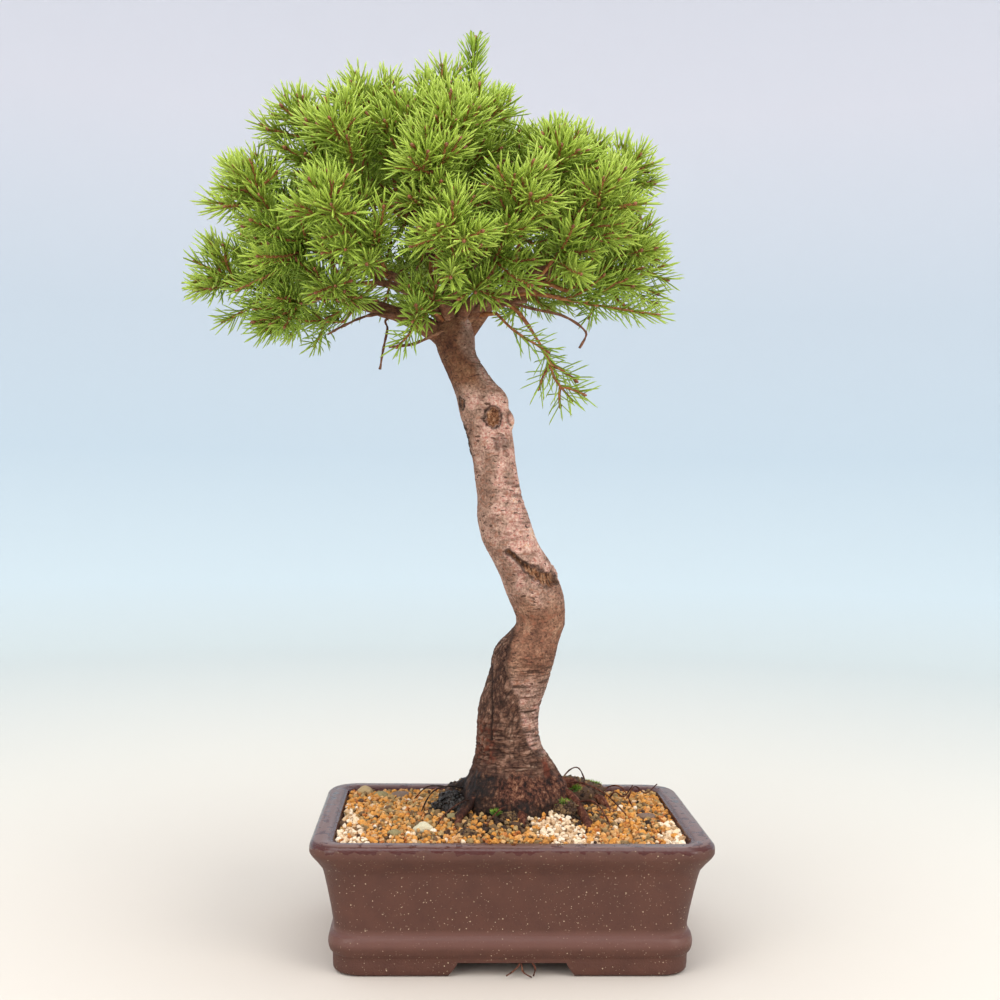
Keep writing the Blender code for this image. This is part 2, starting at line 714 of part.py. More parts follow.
def path_gap(path, others):
    """The least distance from a path to a list of segments."""
    least = 1.0
    for p0, p1 in segments_of(path):
        for q0, q1 in others:
            least = min(least, segment_gap(p0, p1, q0, q1)[0])
    return least


def segments_of(path):
    return list(zip(path, path[1:]))


def grow_branchlet(number, limbs, cores, twigs, draw):
    """A twig and a needled axis whose tip is the next place on the crown: the clearest of several tries."""
    share = (number + 0.5) / BRANCHLET_COUNT
    usual_sine = CROWN_LOWEST_SINE + (CROWN_HIGHEST_SINE - CROWN_LOWEST_SINE) * share**CROWN_TOP_WEIGHT
    limb_segments = [pair for _, _, path in limbs for pair in segments_of(path)]
    best = None
    for _ in range(BRANCHLET_TRIES):
        azimuth = number * GOLDEN_ANGLE + draw.uniform(-0.12, 0.12)
        sine = min(max(usual_sine + draw.uniform(-0.03, 0.03), -0.08), 0.99)
        tip = crown_tip(sine, azimuth, draw.uniform(0.0, CROWN_TIP_DEPTH))
        outward = (tip - CROTCH).normalized()
        way = (outward + Vector((0.0, 0.0, draw.uniform(0.0, 0.25)))).normalized()
        axis = axis_path(tip, way, min(AXIS_LENGTH, AXIS_LARGEST_SHARE * (tip - CROTCH).length))
        base_way = (axis[1] - axis[0]).normalized()
        limb, joint_share, joint, joint_way = choose_limb(axis[0], base_way, limbs)
        twig = twig_path(joint - joint_way * JOINT_SINK, joint_way, axis[0], base_way)
        gap = min(path_gap(axis, cores + twigs + limb_segments), path_gap(twig, cores) + CORE_CLEARANCE)
        if best is None or gap > best[0]:
            best = (gap, twig, axis, limb, joint_share)
        if gap > BRANCHLET_CLEARANCE:
            break
    return best[1:]


def lateral_path(root, axis_way, side_way, length):
    """A side shoot that leaves at a wide angle and turns towards the way of its axis."""
    path = [root.copy()]
    for step in range(LATERAL_STEPS):
        lean = math.radians(LATERAL_LEAN + (LATERAL_TIP_LEAN - LATERAL_LEAN) * step / (LATERAL_STEPS - 1))
        way = axis_way * math.cos(lean) + side_way * math.sin(lean)
        path.append(path[-1] + way * length / LATERAL_STEPS)
    return path


def grow_laterals(axis, whorls, cores, draw):
    """Side shoots in whorls round an axis, each turned or shortened until it clears every other core."""
    frames = carried_frames(axis)
    laterals = []
    turn = draw.uniform(0.0, 2 * math.pi)
    for share, count in whorls:
        root = point_along(axis, share)
        place = min(int(share * (len(axis) - 1)), len(axis) - 2)
        axis_way, side, other = frames[place]
        turn += math.pi / 3
        usual_length = LATERAL_LENGTH * (1.08 - 0.4 * share)
        for k in range(count):
            for attempt in range(LATERAL_TRIES):
                azimuth = turn + 2 * math.pi * k / count + (attempt % 4) * 0.3 * (-1) ** attempt
                side_way = side * math.cos(azimuth) + other * math.sin(azimuth)
                length = usual_length * draw.uniform(0.86, 1.08) * (1 - 0.05 * attempt)
                path = lateral_path(root, axis_way, side_way, length)
                if path_gap(path[1:], cores) > CORE_CLEARANCE:
                    laterals.append((share, path))
                    cores.extend(segments_of(path)[1:])
                    break
    return laterals


def trim_limbs(limbs, reached):
    """Ends each limb at its last twig, and leaves out a limb that carries none."""
    trimmed = []
    for number, (start, end, path) in enumerate(limbs):
        if number not in reached:
            continue
        share = reached[number]
        length = path_length(path)
        kept = [path[0]]
        along = 0.0
        for before, point in segments_of(path):
            along += (point - before).length
            if along < share * length - LIMB_SHORTEST_STEP:
                kept.append(point)
        kept.append(point_along(path, share))
        trimmed.append((start, start + (end - start) * share, kept))
    return trimmed


def grow_crown():
    """Limbs, twigs and branchlets. A branchlet is its name, its twig, its axis and its side shoots."""
    draw = random.Random(CROWN_SEED)
    limbs = grow_limbs(draw)
    limb_segments = [pair for _, _, path in limbs for pair in segments_of(path)]
    twigs = [pair for _, _, controls in DEAD_TWIGS for pair in segments_of(smooth_path(controls, 2))]
    cores = []
    planned = []
    reached = {number: 1.0 for number in range(len(GIVEN_LIMBS))}
    for name, count, twig_controls, axis_controls in FEATURE_BRANCHLETS:
        twig = smooth_path(twig_controls, 2)
        axis = smooth_path((twig_controls[-1], *axis_controls), 3)
        planned.append((f"branchlet_{name}", twig, axis, ((FEATURE_WHORL, count),) if count else ()))
        cores.extend(segments_of(axis))
        twigs.extend(segments_of(twig))
    for number in range(BRANCHLET_COUNT):
        twig, axis, limb, joint_share = grow_branchlet(number, limbs, cores, twigs, draw)
        reached[limb] = max(reached.get(limb, 0.0), joint_share)
        planned.append((f"branchlet_{number + 1:02d}", twig, axis, tuple(zip(AXIS_WHORLS, WHORL_LATERALS))))
        cores.extend(segments_of(axis))
        twigs.extend(segments_of(twig))
    obstacles = cores + twigs + limb_segments
    branchlets = []
    for name, twig, axis, whorls in planned:
        others = [pair for pair in obstacles if pair[0] not in axis and pair[1] not in axis]
        laterals = grow_laterals(axis, whorls, others, draw)
        for _, path in laterals:
            obstacles.extend(segments_of(path)[1:])
        branchlets.append((name, twig, axis, laterals))
    return trim_limbs(limbs, reached), branchlets


# Wood as one solid


def join_pieces(name, pieces, material):
    """One Boolean union of overlapping pieces, applied, with the pieces then removed."""
    collection = bpy.data.collections.new(f"{name}_pieces")
    bpy.context.scene.collection.children.link(collection)
    for piece in pieces[1:]:
        move_to_collection(piece, collection)
    whole = pieces[0]
    whole.name = name
    modifier = add_boolean(whole, "UNION", collection)
    with bpy.context.temp_override(object=whole, active_object=whole, selected_objects=[whole]):
        bpy.ops.object.modifier_apply(modifier=modifier.name)
    for piece in list(collection.objects):
        bpy.data.objects.remove(piece, do_unlink=True)
    bpy.data.collections.remove(collection)
    whole.data.materials.clear()
    whole.data.materials.append(material)
    return whole


def build_wood(limbs, branchlets, material):
    pieces = [add_trunk("trunk", TRUNK_STATIONS)]
    for number, (start, end, controls) in enumerate(SURFACE_ROOTS):
        pieces.append(add_root(f"root_{number}", controls, start, end))
    for number, (root, outer, radius) in enumerate(TRUNK_KNOBS):
        path = [Vector(root), Vector(outer)]
        pieces.append(add_tube(f"knob_{number}", path, radius * KNOB_ROOT_SHARE, radius, KNOB_SIDES))
    for number, (start, end, path) in enumerate(limbs):
        pieces.append(add_tube(f"limb_{number}", path, start, end, LIMB_SIDES))
    for number, (start, end, controls) in enumerate(DEAD_TWIGS):
        path = [Vector(control) for control in controls]
        pieces.append(add_tube(f"dead_twig_{number}", path, start, end, TWIG_SIDES))
    for name, twig, axis, _ in branchlets:
        way = (axis[1] - axis[0]).normalized()
        path = [*twig[:-1], twig[-1] - way * TWIG_END_LENGTH, twig[-1] - way * (SEAT_GAP / 2)]
        pieces.append(add_tube(f"{name}_twig", path, TWIG_ROOT_RADIUS, TWIG_RADIUS, TWIG_SIDES))
    return join_pieces("tree_wood", pieces, material)


# Needles: each is the face of a thin band drawn out to a point


class NeedleSpace:
    """The room left for needles, kept as segments with radii in a grid of cells."""

    CELL = 0.012

    def __init__(self):
        self.cells = {}
        self.items = []

    def cells_of(self, p0, p1):
        low = [math.floor(min(p0[i], p1[i]) / self.CELL) for i in range(3)]
        high = [math.floor(max(p0[i], p1[i]) / self.CELL) for i in range(3)]
        for x in range(low[0], high[0] + 1):
            for y in range(low[1], high[1] + 1):
                for z in range(low[2], high[2] + 1):
                    yield x, y, z

    def add(self, p0, p1, start_radius, end_radius, owner):
        """Owner says which shoot or band it belongs to. Radii are carried into neighbouring cells."""
        number = len(self.items)
        self.items.append((p0, p1, start_radius, end_radius, owner))
        margin = Vector((1.0, 1.0, 1.0)) * (max(start_radius, end_radius) + 0.001)
        low = Vector([min(p0[i], p1[i]) for i in range(3)]) - margin
        high = Vector([max(p0[i], p1[i]) for i in range(3)]) + margin
        for cell in self.cells_of(low, high):
            self.cells.setdefault(cell, []).append(number)

    def clear(self, p0, p1, radius, skip):
        """True where a needle from p0 to p1 touches nothing but what it grows from."""
        seen = set()
        for cell in self.cells_of(p0, p1):
            seen.update(self.cells.get(cell, ()))
        for number in seen:
            q0, q1, start_radius, end_radius, owner = self.items[number]
            if owner in skip:
                continue
            gap, s, t = segment_gap(p0, p1, q0, q1)
            needed = radius * (1 - s) + start_radius + (end_radius - start_radius) * t + NEEDLE_CLEARANCE
            if gap < needed:
                return False
        return True


def shoot_stations(path, needle_shares, whorl_shares):
    """The distances of the rings along a shoot, each with what its band holds."""
    length = path_length(path)
    marks = []
    for share in needle_shares:
        start = share * length
        marks.append((start, "bare"))
        marks.append((start + NEEDLE_BAND, "needles"))
    for share in whorl_shares:
        start = share * length
        marks.append((start - WHORL_BAND / 2, "bare"))
        marks.append((start + WHORL_BAND / 2, share))
    marks.sort(key=lambda mark: mark[0])
    return [(distance / length, kind) for distance, kind in marks]


def ring_phase(root_ring, centre, side, other):
    """The turn that lines a ring of three up with the three points of its root."""
    total = 0j
    for i, vert in enumerate(root_ring):
        arm = vert.co - centre
        angle = math.atan2(arm.dot(other), arm.dot(side)) - 2 * math.pi * i / 3
        total += complex(math.cos(angle), math.sin(angle))
    return math.atan2(total.imag, total.real)


def grow_core(bm, root_ring, path, stations, start_radius):
    """A three-sided core of twisted bands, closed by a bud at its tip. Returns what each band holds."""
    shares = [share for share, _ in stations]
    centres = [point_along(path, share) for share in shares]
    whole = [path[0], *centres, path[-1]]
    frames = carried_frames(whole)
    phase = ring_phase(root_ring, path[0], frames[0][1], frames[0][2])
    low = list(root_ring)
    bands = []
    for number, (share, kind) in enumerate(stations):
        _, side, other = frames[number + 1]
        radius = start_radius + (SHOOT_TIP_RADIUS - start_radius) * share
        high = []
        for i in range(3):
            angle = phase + 2 * math.pi * i / 3 + math.pi / 3 * (number + 1)
            arm = side * math.cos(angle) + other * math.sin(angle)
            high.append(bm.verts.new(centres[number] + arm * radius))
        faces = []
        for i in range(3):
            j = (i + 1) % 3
            faces.append(bm.faces.new((low[i], low[j], high[i])))
            faces.append(bm.faces.new((low[j], high[j], high[i])))
        bands.append((kind, faces, frames[number + 1][0], centres[number]))
        low = high
    bud = bm.verts.new(path[-1])
    for i in range(3):
        bm.faces.new((low[i], low[(i + 1) % 3], bud))
    return bands


def draw_needles(bm, bands, space, shoot_name, draw):
    """Draws each face of the needle bands out to a point where that point has room."""
    for number, (kind, faces, tangent, centre) in enumerate(bands):
        if kind != "needles":
            continue
        band_name = (shoot_name, number)
        usual_lean = NEEDLE_TIP_LEAN if number == len(bands) - 1 else NEEDLE_LEAN
        for face in faces:
            foot = face.calc_center_median()
            outward = foot - centre
            outward = (outward - tangent * outward.dot(tangent)).normalized()
            across = tangent.cross(outward)
            for attempt in range(NEEDLE_TRIES):
                lean = math.radians(usual_lean + draw.uniform(-8, 8) + 3 * attempt * (-1) ** attempt)
                swing = math.radians(draw.uniform(-5, 5) * (1 + 0.5 * attempt))
                sideways = outward * math.cos(swing) + across * math.sin(swing)
                way = tangent * math.cos(lean) + sideways * math.sin(lean)
                tip = foot + way * NEEDLE_LENGTH * draw.uniform(0.94, 1.04)
                if space.clear(foot, tip, NEEDLE_RADIUS, (shoot_name, band_name)):
                    apex = bmesh.ops.poke(bm, faces=[face])["verts"][0]
                    apex.co = tip
                    space.add(foot, tip, NEEDLE_RADIUS, 0.0, band_name)
                    break


def start_ring(bm, base, side, other):
    ring = []
    for i in range(3):
        angle = 2 * math.pi * i / 3
        ring.append(bm.verts.new(base + (side * math.cos(angle) + other * math.sin(angle)) * SHOOT_RADIUS))
    bm.faces.new(list(reversed(ring)))
    return ring


def root_face(bands, share, side_way):
    """The face of a whorl's band that looks most nearly the way a side shoot leaves."""
    for kind, faces, _, _ in bands:
        if kind == share:
            free = [face for face in faces if face.is_valid and len(face.verts) == 3]
            return max(free, key=lambda face: face.normal.dot(side_way))
    raise ValueError("a side shoot has no whorl to grow from")


def build_branchlet(name, axis, laterals, space, draw, material):
    """One closed body: the axis, the side shoots grown out of its faces, and the needles of both."""
    bm = bmesh.new()
    path = [point.copy() for point in axis]
    path[0] = path[0] + (path[1] - path[0]).normalized() * (SEAT_GAP / 2)
    frames = carried_frames(path)
    whorl_shares = sorted({share for share, _ in laterals})
    stations = shoot_stations(path, AXIS_NEEDLE_BANDS, whorl_shares)
    ring = start_ring(bm, path[0], frames[0][1], frames[0][2])
    bands = grow_core(bm, ring, path, stations, SHOOT_RADIUS)
    bm.normal_update()
    cores = [(f"{name}_axis", bands)]
    for number, (share, lateral) in enumerate(laterals):
        face = root_face(bands, share, (lateral[-1] - lateral[0]).normalized())
        for _, faces, _, _ in bands:
            if face in faces:
                faces.remove(face)
        root = list(face.verts)
        bm.faces.remove(face)
        lateral_stations = shoot_stations(lateral, LATERAL_NEEDLE_BANDS[number % 2], ())
        lateral_bands = grow_core(bm, root, lateral, lateral_stations, LATERAL_RADIUS)
        cores.append((f"{name}_side_{number}", lateral_bands))
    for shoot_name, shoot_bands in cores:
        draw_needles(bm, shoot_bands, space, shoot_name, draw)
    return link_object(bm, name, material)


def fill_needle_space(limbs, branchlets):
    """Everything that needles keep clear of."""
    space = NeedleSpace()
    for start, end, path in limbs:
        steps = len(path) - 1
        for i, (p0, p1) in enumerate(segments_of(path)):
            radius = start + (end - start) * i / steps
            space.add(p0, p1, radius, start + (end - start) * (i + 1) / steps, "wood")
    for start, _, controls in DEAD_TWIGS:
        for p0, p1 in segments_of(smooth_path(controls, 2)):
            space.add(p0, p1, start, start, "wood")
    for low, high in zip(TRUNK_STATIONS, TRUNK_STATIONS[1:]):
        p0 = Vector((low[1], low[2], low[0]))
        p1 = Vector((high[1], high[2], high[0]))
        space.add(p0, p1, low[3], high[3], "wood")
    for name, twig, axis, laterals in branchlets:
        for p0, p1 in segments_of(twig):
            space.add(p0, p1, TWIG_ROOT_RADIUS, TWIG_ROOT_RADIUS, "wood")
        for p0, p1 in segments_of(axis):
            space.add(p0, p1, SHOOT_RADIUS, SHOOT_RADIUS, f"{name}_axis")
        for number, (_, path) in enumerate(laterals):
            for p0, p1 in segments_of(path):
                space.add(p0, p1, SHOOT_RADIUS, SHOOT_RADIUS, f"{name}_side_{number}")
    return space


# Placement


def centre_on_origin():
    """Moves everything so that the whole object's box is centred on X and Y and stands on z = 0."""
    graph = bpy.context.evaluated_depsgraph_get()
    corners = []
    for obj in bpy.data.objects:
        if obj.type == "MESH" and not obj.hide_render:
            corners.extend(obj.evaluated_get(graph).bound_box)
    middle_x, middle_y = ((min(c[i] for c in corners) + max(c[i] for c in corners)) / 2 for i in (0, 1))
    placement = bpy.data.objects.new("placement", None)
    bpy.context.scene.collection.objects.link(placement)
    for obj in bpy.data.objects:
        if obj.type == "MESH":
            obj.parent = placement
    placement.location = (-middle_x, -middle_y, 0.0)


def main():
    clear_scene()
    stoneware = make_material("unglazed_stoneware", (0.138, 0.066, 0.053), 0.55)
    grit = make_material("granular_soil", (0.60, 0.31, 0.09), 0.95)
    plastic = make_material("black_plastic_mesh", (0.02, 0.02, 0.02), 0.5)
    bark = make_material("spruce_bark", (0.30, 0.19, 0.13), 0.85)
    needles = make_material("spruce_needles", (0.20, 0.38, 0.05), 0.5)
    build_pot(stoneware)
    build_soil(grit, root_cutters())
    build_drain_mesh("drain_mesh_left", -DRAIN_HOLE_X, plastic)
    build_drain_mesh("drain_mesh_right", DRAIN_HOLE_X, plastic)
    limbs, branchlets = grow_crown()
    build_wood(limbs, branchlets, bark)
    space = fill_needle_space(limbs, branchlets)
    draw = random.Random(CROWN_SEED + 1)
    for name, _, axis, laterals in branchlets:
        build_branchlet(name, axis, laterals, space, draw, needles)
    centre_on_origin()


main()
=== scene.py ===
"""A spruce bonsai in a stoneware pot: bark, needles, soil and pot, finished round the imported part."""

import math
import random

import bpy
import numpy as np
from mathutils import Matrix, Vector, noise


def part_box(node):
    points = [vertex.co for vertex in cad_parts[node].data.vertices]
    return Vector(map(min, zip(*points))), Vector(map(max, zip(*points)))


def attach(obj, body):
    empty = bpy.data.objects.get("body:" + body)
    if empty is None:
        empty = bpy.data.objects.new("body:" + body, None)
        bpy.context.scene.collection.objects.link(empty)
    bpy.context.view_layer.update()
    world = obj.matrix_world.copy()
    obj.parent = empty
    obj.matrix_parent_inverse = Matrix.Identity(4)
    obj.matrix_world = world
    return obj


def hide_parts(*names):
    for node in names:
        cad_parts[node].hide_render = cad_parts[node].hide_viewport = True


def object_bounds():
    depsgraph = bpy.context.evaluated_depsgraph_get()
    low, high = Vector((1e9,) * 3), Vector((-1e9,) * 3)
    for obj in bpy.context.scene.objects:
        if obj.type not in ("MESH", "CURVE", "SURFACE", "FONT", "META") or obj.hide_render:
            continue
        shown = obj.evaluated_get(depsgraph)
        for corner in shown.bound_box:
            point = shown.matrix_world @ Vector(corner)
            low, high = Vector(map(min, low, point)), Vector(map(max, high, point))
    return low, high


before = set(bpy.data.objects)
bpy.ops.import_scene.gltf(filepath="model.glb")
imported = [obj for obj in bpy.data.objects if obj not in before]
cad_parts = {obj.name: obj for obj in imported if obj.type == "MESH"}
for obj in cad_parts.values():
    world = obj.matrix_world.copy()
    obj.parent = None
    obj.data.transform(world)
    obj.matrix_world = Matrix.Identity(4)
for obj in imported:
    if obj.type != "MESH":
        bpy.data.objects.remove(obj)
CAD_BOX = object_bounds()

# The pot's box gives its outer size at the rim, and its centre, which every place below is measured from
POT_LOW, POT_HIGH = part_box("pot")
POT_CENTRE = Vector(((POT_LOW.x + POT_HIGH.x) / 2, (POT_LOW.y + POT_HIGH.y) / 2, 0.0))
POT_WIDTH = POT_HIGH.x - POT_LOW.x
POT_DEPTH = POT_HIGH.y - POT_LOW.y
POT_HEIGHT = POT_HIGH.z
LOWEST_PLACE = np.array(CAD_BOX[0]) - np.array(POT_CENTRE)
HIGHEST_PLACE = np.array(CAD_BOX[1]) - np.array(POT_CENTRE)

# Pot: pairs of inset from the rim's edge and height, up the outside and down the inside
POT_OUTSIDE = (
    (0.0145, 0.0),
    (0.0124, 0.0018),
    (0.0120, 0.0092),
    (0.0106, 0.0115),
    (0.0097, 0.0155),
    (0.0104, 0.0198),
    (0.0123, 0.0245),
    (0.0075, 0.0505),
    (0.0050, 0.0565),
    (0.0012, 0.0618),
    (0.0, 0.0645),
    (0.0003, 0.0680),
    (0.0025, POT_HEIGHT),
)
POT_CAVITY = (
    (0.0215, 0.0130),
    (0.0185, 0.0170),
    (0.0178, 0.0300),
    (0.0124, 0.0655),
    (0.0116, 0.0688),
    (0.0088, POT_HEIGHT),
    (0.0080, POT_HEIGHT + 0.0020),
)
POT_CORNER_RADIUS = 0.014
CAVITY_CORNER_RADIUS = 0.007
POT_CORNER_SEGMENTS = 10
POT_PROFILE_STEPS = 3
POT_EDGE_ROUNDING = 0.0005
POT_EDGE_ANGLE = 38
POT_SHADING_ANGLE = 35
CUT_MARGIN = 0.02
FOOT_HEIGHT = 0.0075
FOOT_RAIL = 0.030
FRONT_GAP_TOP = 0.056
FRONT_GAP_BOTTOM = 0.065
SIDE_GAP_TOP = 0.040
SIDE_GAP_BOTTOM = 0.049
DRAIN_HOLE_RADIUS = 0.009
DRAIN_HOLE_X = 0.045
DRILL_LENGTH = 0.03
DRILL_HEIGHT = 0.010
DRILL_SIDES = 32

# Soil: the bed lies a little below the loose grains, and its sides lean in below the rim
SOIL_EDGE_HEIGHT = 0.0672
SOIL_MOUND_HEIGHT = 0.0100
SOIL_MOUND_RADIUS = 0.042
SOIL_INSET = 0.0130
SOIL_CORNER_RADIUS = 0.0065
SOIL_BED_DROP = 0.0022
SOIL_BED_PITCH = 0.0016
SOIL_CRUMB_DEPTH = 0.0012
SOIL_CRUMB_PITCH = 0.0035
SOIL_SIDE_DROP = 0.035
SOIL_FOOT_SHARES = (0.955, 0.93, 0.0)
SOIL_FOOT_HEIGHT = 0.030
SOIL_FLOOR_DROP = 0.0165
SOIL_TINT = 0.4
SOIL_DRIFT_TINT = 0.95
SOIL_SEED = 11

# Trunk: height, centre X, centre Y and half width, from the root stump to the crotch
TRUNK_STATIONS = (
    (0.036, 0.004, 0.005, 0.013),
    (0.050, 0.004, 0.005, 0.022),
    (0.066, 0.004, 0.005, 0.029),
    (0.078, 0.004, 0.005, 0.031),
    (0.090, 0.0034, 0.005, 0.0258),
    (0.096, 0.0028, 0.005, 0.0230),
    (0.105, 0.0005, 0.005, 0.0191),
    (0.115, -0.0005, 0.0053, 0.0175),
    (0.128, 0.0005, 0.0058, 0.0173),
    (0.145, 0.0053, 0.0062, 0.0174),
    (0.157, 0.0083, 0.0064, 0.0179),
    (0.1645, 0.0108, 0.0062, 0.0167),
    (0.171, 0.0149, 0.0060, 0.0144),
    (0.177, 0.0172, 0.0058, 0.0137),
    (0.190, 0.0141, 0.0050, 0.0160),
    (0.202, 0.0099, 0.0042, 0.0160),
    (0.212, 0.0048, 0.0038, 0.0162),
    (0.2215, -0.0007, 0.0034, 0.0156),
    (0.236, -0.0049, 0.0032, 0.0147),
    (0.249, -0.0075, 0.0034, 0.0124),
    (0.280, -0.0127, 0.0045, 0.0126),
    (0.291, -0.0156, 0.0048, 0.0138),
    (0.3025, -0.0182, 0.0050, 0.0142),
    (0.312, -0.0238, 0.0050, 0.0124),
    (0.326, -0.0315, 0.0050, 0.0108),
    (0.338, -0.0335, 0.0050, 0.0112),
    (0.350, -0.0330, 0.0050, 0.0085),
)
FLARE_X, FLARE_Y, FLARE_RADIUS = TRUNK_STATIONS[3][1:]
TRUNK_LUMP_SHARE = 0.045
TRUNK_LUMP_PITCH = 0.030
TRUNK_SIDES = 36
TRUNK_ROW_STEPS = 4

# Surface roots: start and end radius, then points from the flare outwards
SURFACE_ROOTS = (
    (0.0085, 0.0060, (
        (-0.012, 0.012, 0.083), (-0.024, 0.014, 0.081), (-0.033, 0.010, 0.077), (-0.038, 0.0, 0.068),
    )),
    (0.0045, 0.0026, (
        (-0.010, -0.006, 0.086), (-0.020, -0.014, 0.080), (-0.0265, -0.024, 0.0745), (-0.031, -0.038, 0.066),
    )),
    (0.0062, 0.0024, (
        (0.018, 0.010, 0.087), (0.031, 0.016, 0.0835), (0.043, 0.018, 0.079),
        (0.055, 0.012, 0.073), (0.064, -0.002, 0.063),
    )),
    (0.0050, 0.0026, (
        (0.020, 0.0, 0.086), (0.033, -0.004, 0.0815), (0.038, -0.014, 0.0765),
        (0.0415, -0.028, 0.0715), (0.040, -0.043, 0.064),
    )),
    (0.0066, 0.0032, ((0.004, -0.012, 0.080), (0.006, -0.027, 0.0735), (0.010, -0.042, 0.064))),
    (0.0075, 0.0030, ((0.004, 0.022, 0.085), (0.000, 0.036, 0.0785), (-0.006, 0.052, 0.066))),
    (0.0060, 0.0026, ((-0.006, 0.020, 0.084), (-0.022, 0.032, 0.0785), (-0.036, 0.046, 0.066))),
    (0.0060, 0.0026, ((0.016, 0.020, 0.084), (0.030, 0.034, 0.0785), (0.041, 0.050, 0.066))),
)

# Crown: the tips of the shoots lie near this superellipsoid
CROWN_CENTRE = Vector((-0.048, 0.006, 0.372))
CROWN_HALF = Vector((0.129, 0.108, 0.101))
CROWN_EXPONENT = 2.5
CROWN_SIDE_EXPONENT = 3.2
CROWN_LOWEST_SINE = 0.02
CROWN_HIGHEST_SINE = 0.985
CROWN_TOP_WEIGHT = 0.85
CROWN_TILT = 0.20
CROWN_NOTCH_X = 0.016
CROWN_NOTCH_WIDTH = 0.030
CROWN_NOTCH_DEPTH = 0.022
CROWN_TIP_DEPTH = 0.009
CROWN_SEED = 2024
BRANCHLET_COUNT = 37
BRANCHLET_TRIES = 12
BRANCHLET_CLEARANCE = 0.013

# Limbs, each with its start and end radius: three are seen below the crown, and the rest follow a rule
CROTCH = Vector((-0.033, 0.005, 0.340))
GIVEN_LIMBS = (
    (0.0075, 0.0024, (
        (-0.033, 0.005, 0.336), (-0.035, 0.006, 0.362), (-0.031, 0.005, 0.392),
        (-0.032, 0.004, 0.418), (-0.031, 0.004, 0.4365),
    )),
    (0.0068, 0.0024, (
        (-0.034, 0.005, 0.3320), (-0.0475, 0.004, 0.3405), (-0.0615, 0.001, 0.3462),
        (-0.0867, -0.003, 0.3530), (-0.112, -0.005, 0.3590),
    )),
    (0.0050, 0.0021, (
        (-0.030, 0.005, 0.3330), (-0.0168, 0.004, 0.3526), (-0.0084, 0.003, 0.3600),
        (0.0083, 0.003, 0.3705), (0.0251, 0.004, 0.3777), (0.043, 0.006, 0.389),
    )),
)
LOW_LIMB_AZIMUTHS = (35, 72, 110, 148, 215, 250, 290, 325)
LOW_LIMB_ELEVATION = 24
LOW_LIMB_RADII = (0.0042, 0.0020)
HIGH_LIMB_AZIMUTHS = (20, 80, 140, 200, 260, 320)
HIGH_LIMB_ELEVATION = 50
HIGH_LIMB_RADII = (0.0038, 0.0019)
HIGH_LIMB_START = Vector((-0.034, 0.0055, 0.362))
LIMB_SHARE = 0.40
LIMB_BOW = 0.006
LIMB_KINK = 0.003
LIMB_SHORTEST_STEP = 0.003

# Twigs leave a limb at one of these shares of its length, a little inside its surface
JOINT_SHARES = (0.45, 0.60, 0.74, 0.87, 1.0)
JOINT_SINK = 0.0025
TWIG_TURN_COST = 1.5
TWIG_RADII = (0.0014, 0.0011)
TWIG_STEPS = 2

# Dead twigs under the crown: start and end radius, then points
DEAD_TWIGS = (
    (0.0014, 0.0010, (
        (-0.0660, 0.0, 0.3475), (-0.0721, -0.002, 0.3436), (-0.0709, -0.004, 0.3386),
        (-0.0730, -0.006, 0.3268), (-0.0745, -0.007, 0.3161),
    )),
    (0.0020, 0.0012, (
        (-0.0370, 0.0, 0.3370), (-0.0418, -0.004, 0.3375),
        (-0.0557, -0.008, 0.3305), (-0.0697, -0.011, 0.3280),
    )),
    (0.0015, 0.0010, (
        (-0.0130, 0.0, 0.3530), (-0.0022, -0.006, 0.3535), (0.0125, -0.010, 0.3500),
        (0.0267, -0.013, 0.3463), (0.0381, -0.014, 0.3380), (0.0349, -0.014, 0.3290),
    )),
    (0.0018, 0.0010, (
        (-0.0640, -0.002, 0.3470), (-0.0800, -0.010, 0.3455),
        (-0.0921, -0.014, 0.3400), (-0.1026, -0.018, 0.3335),
    )),
)

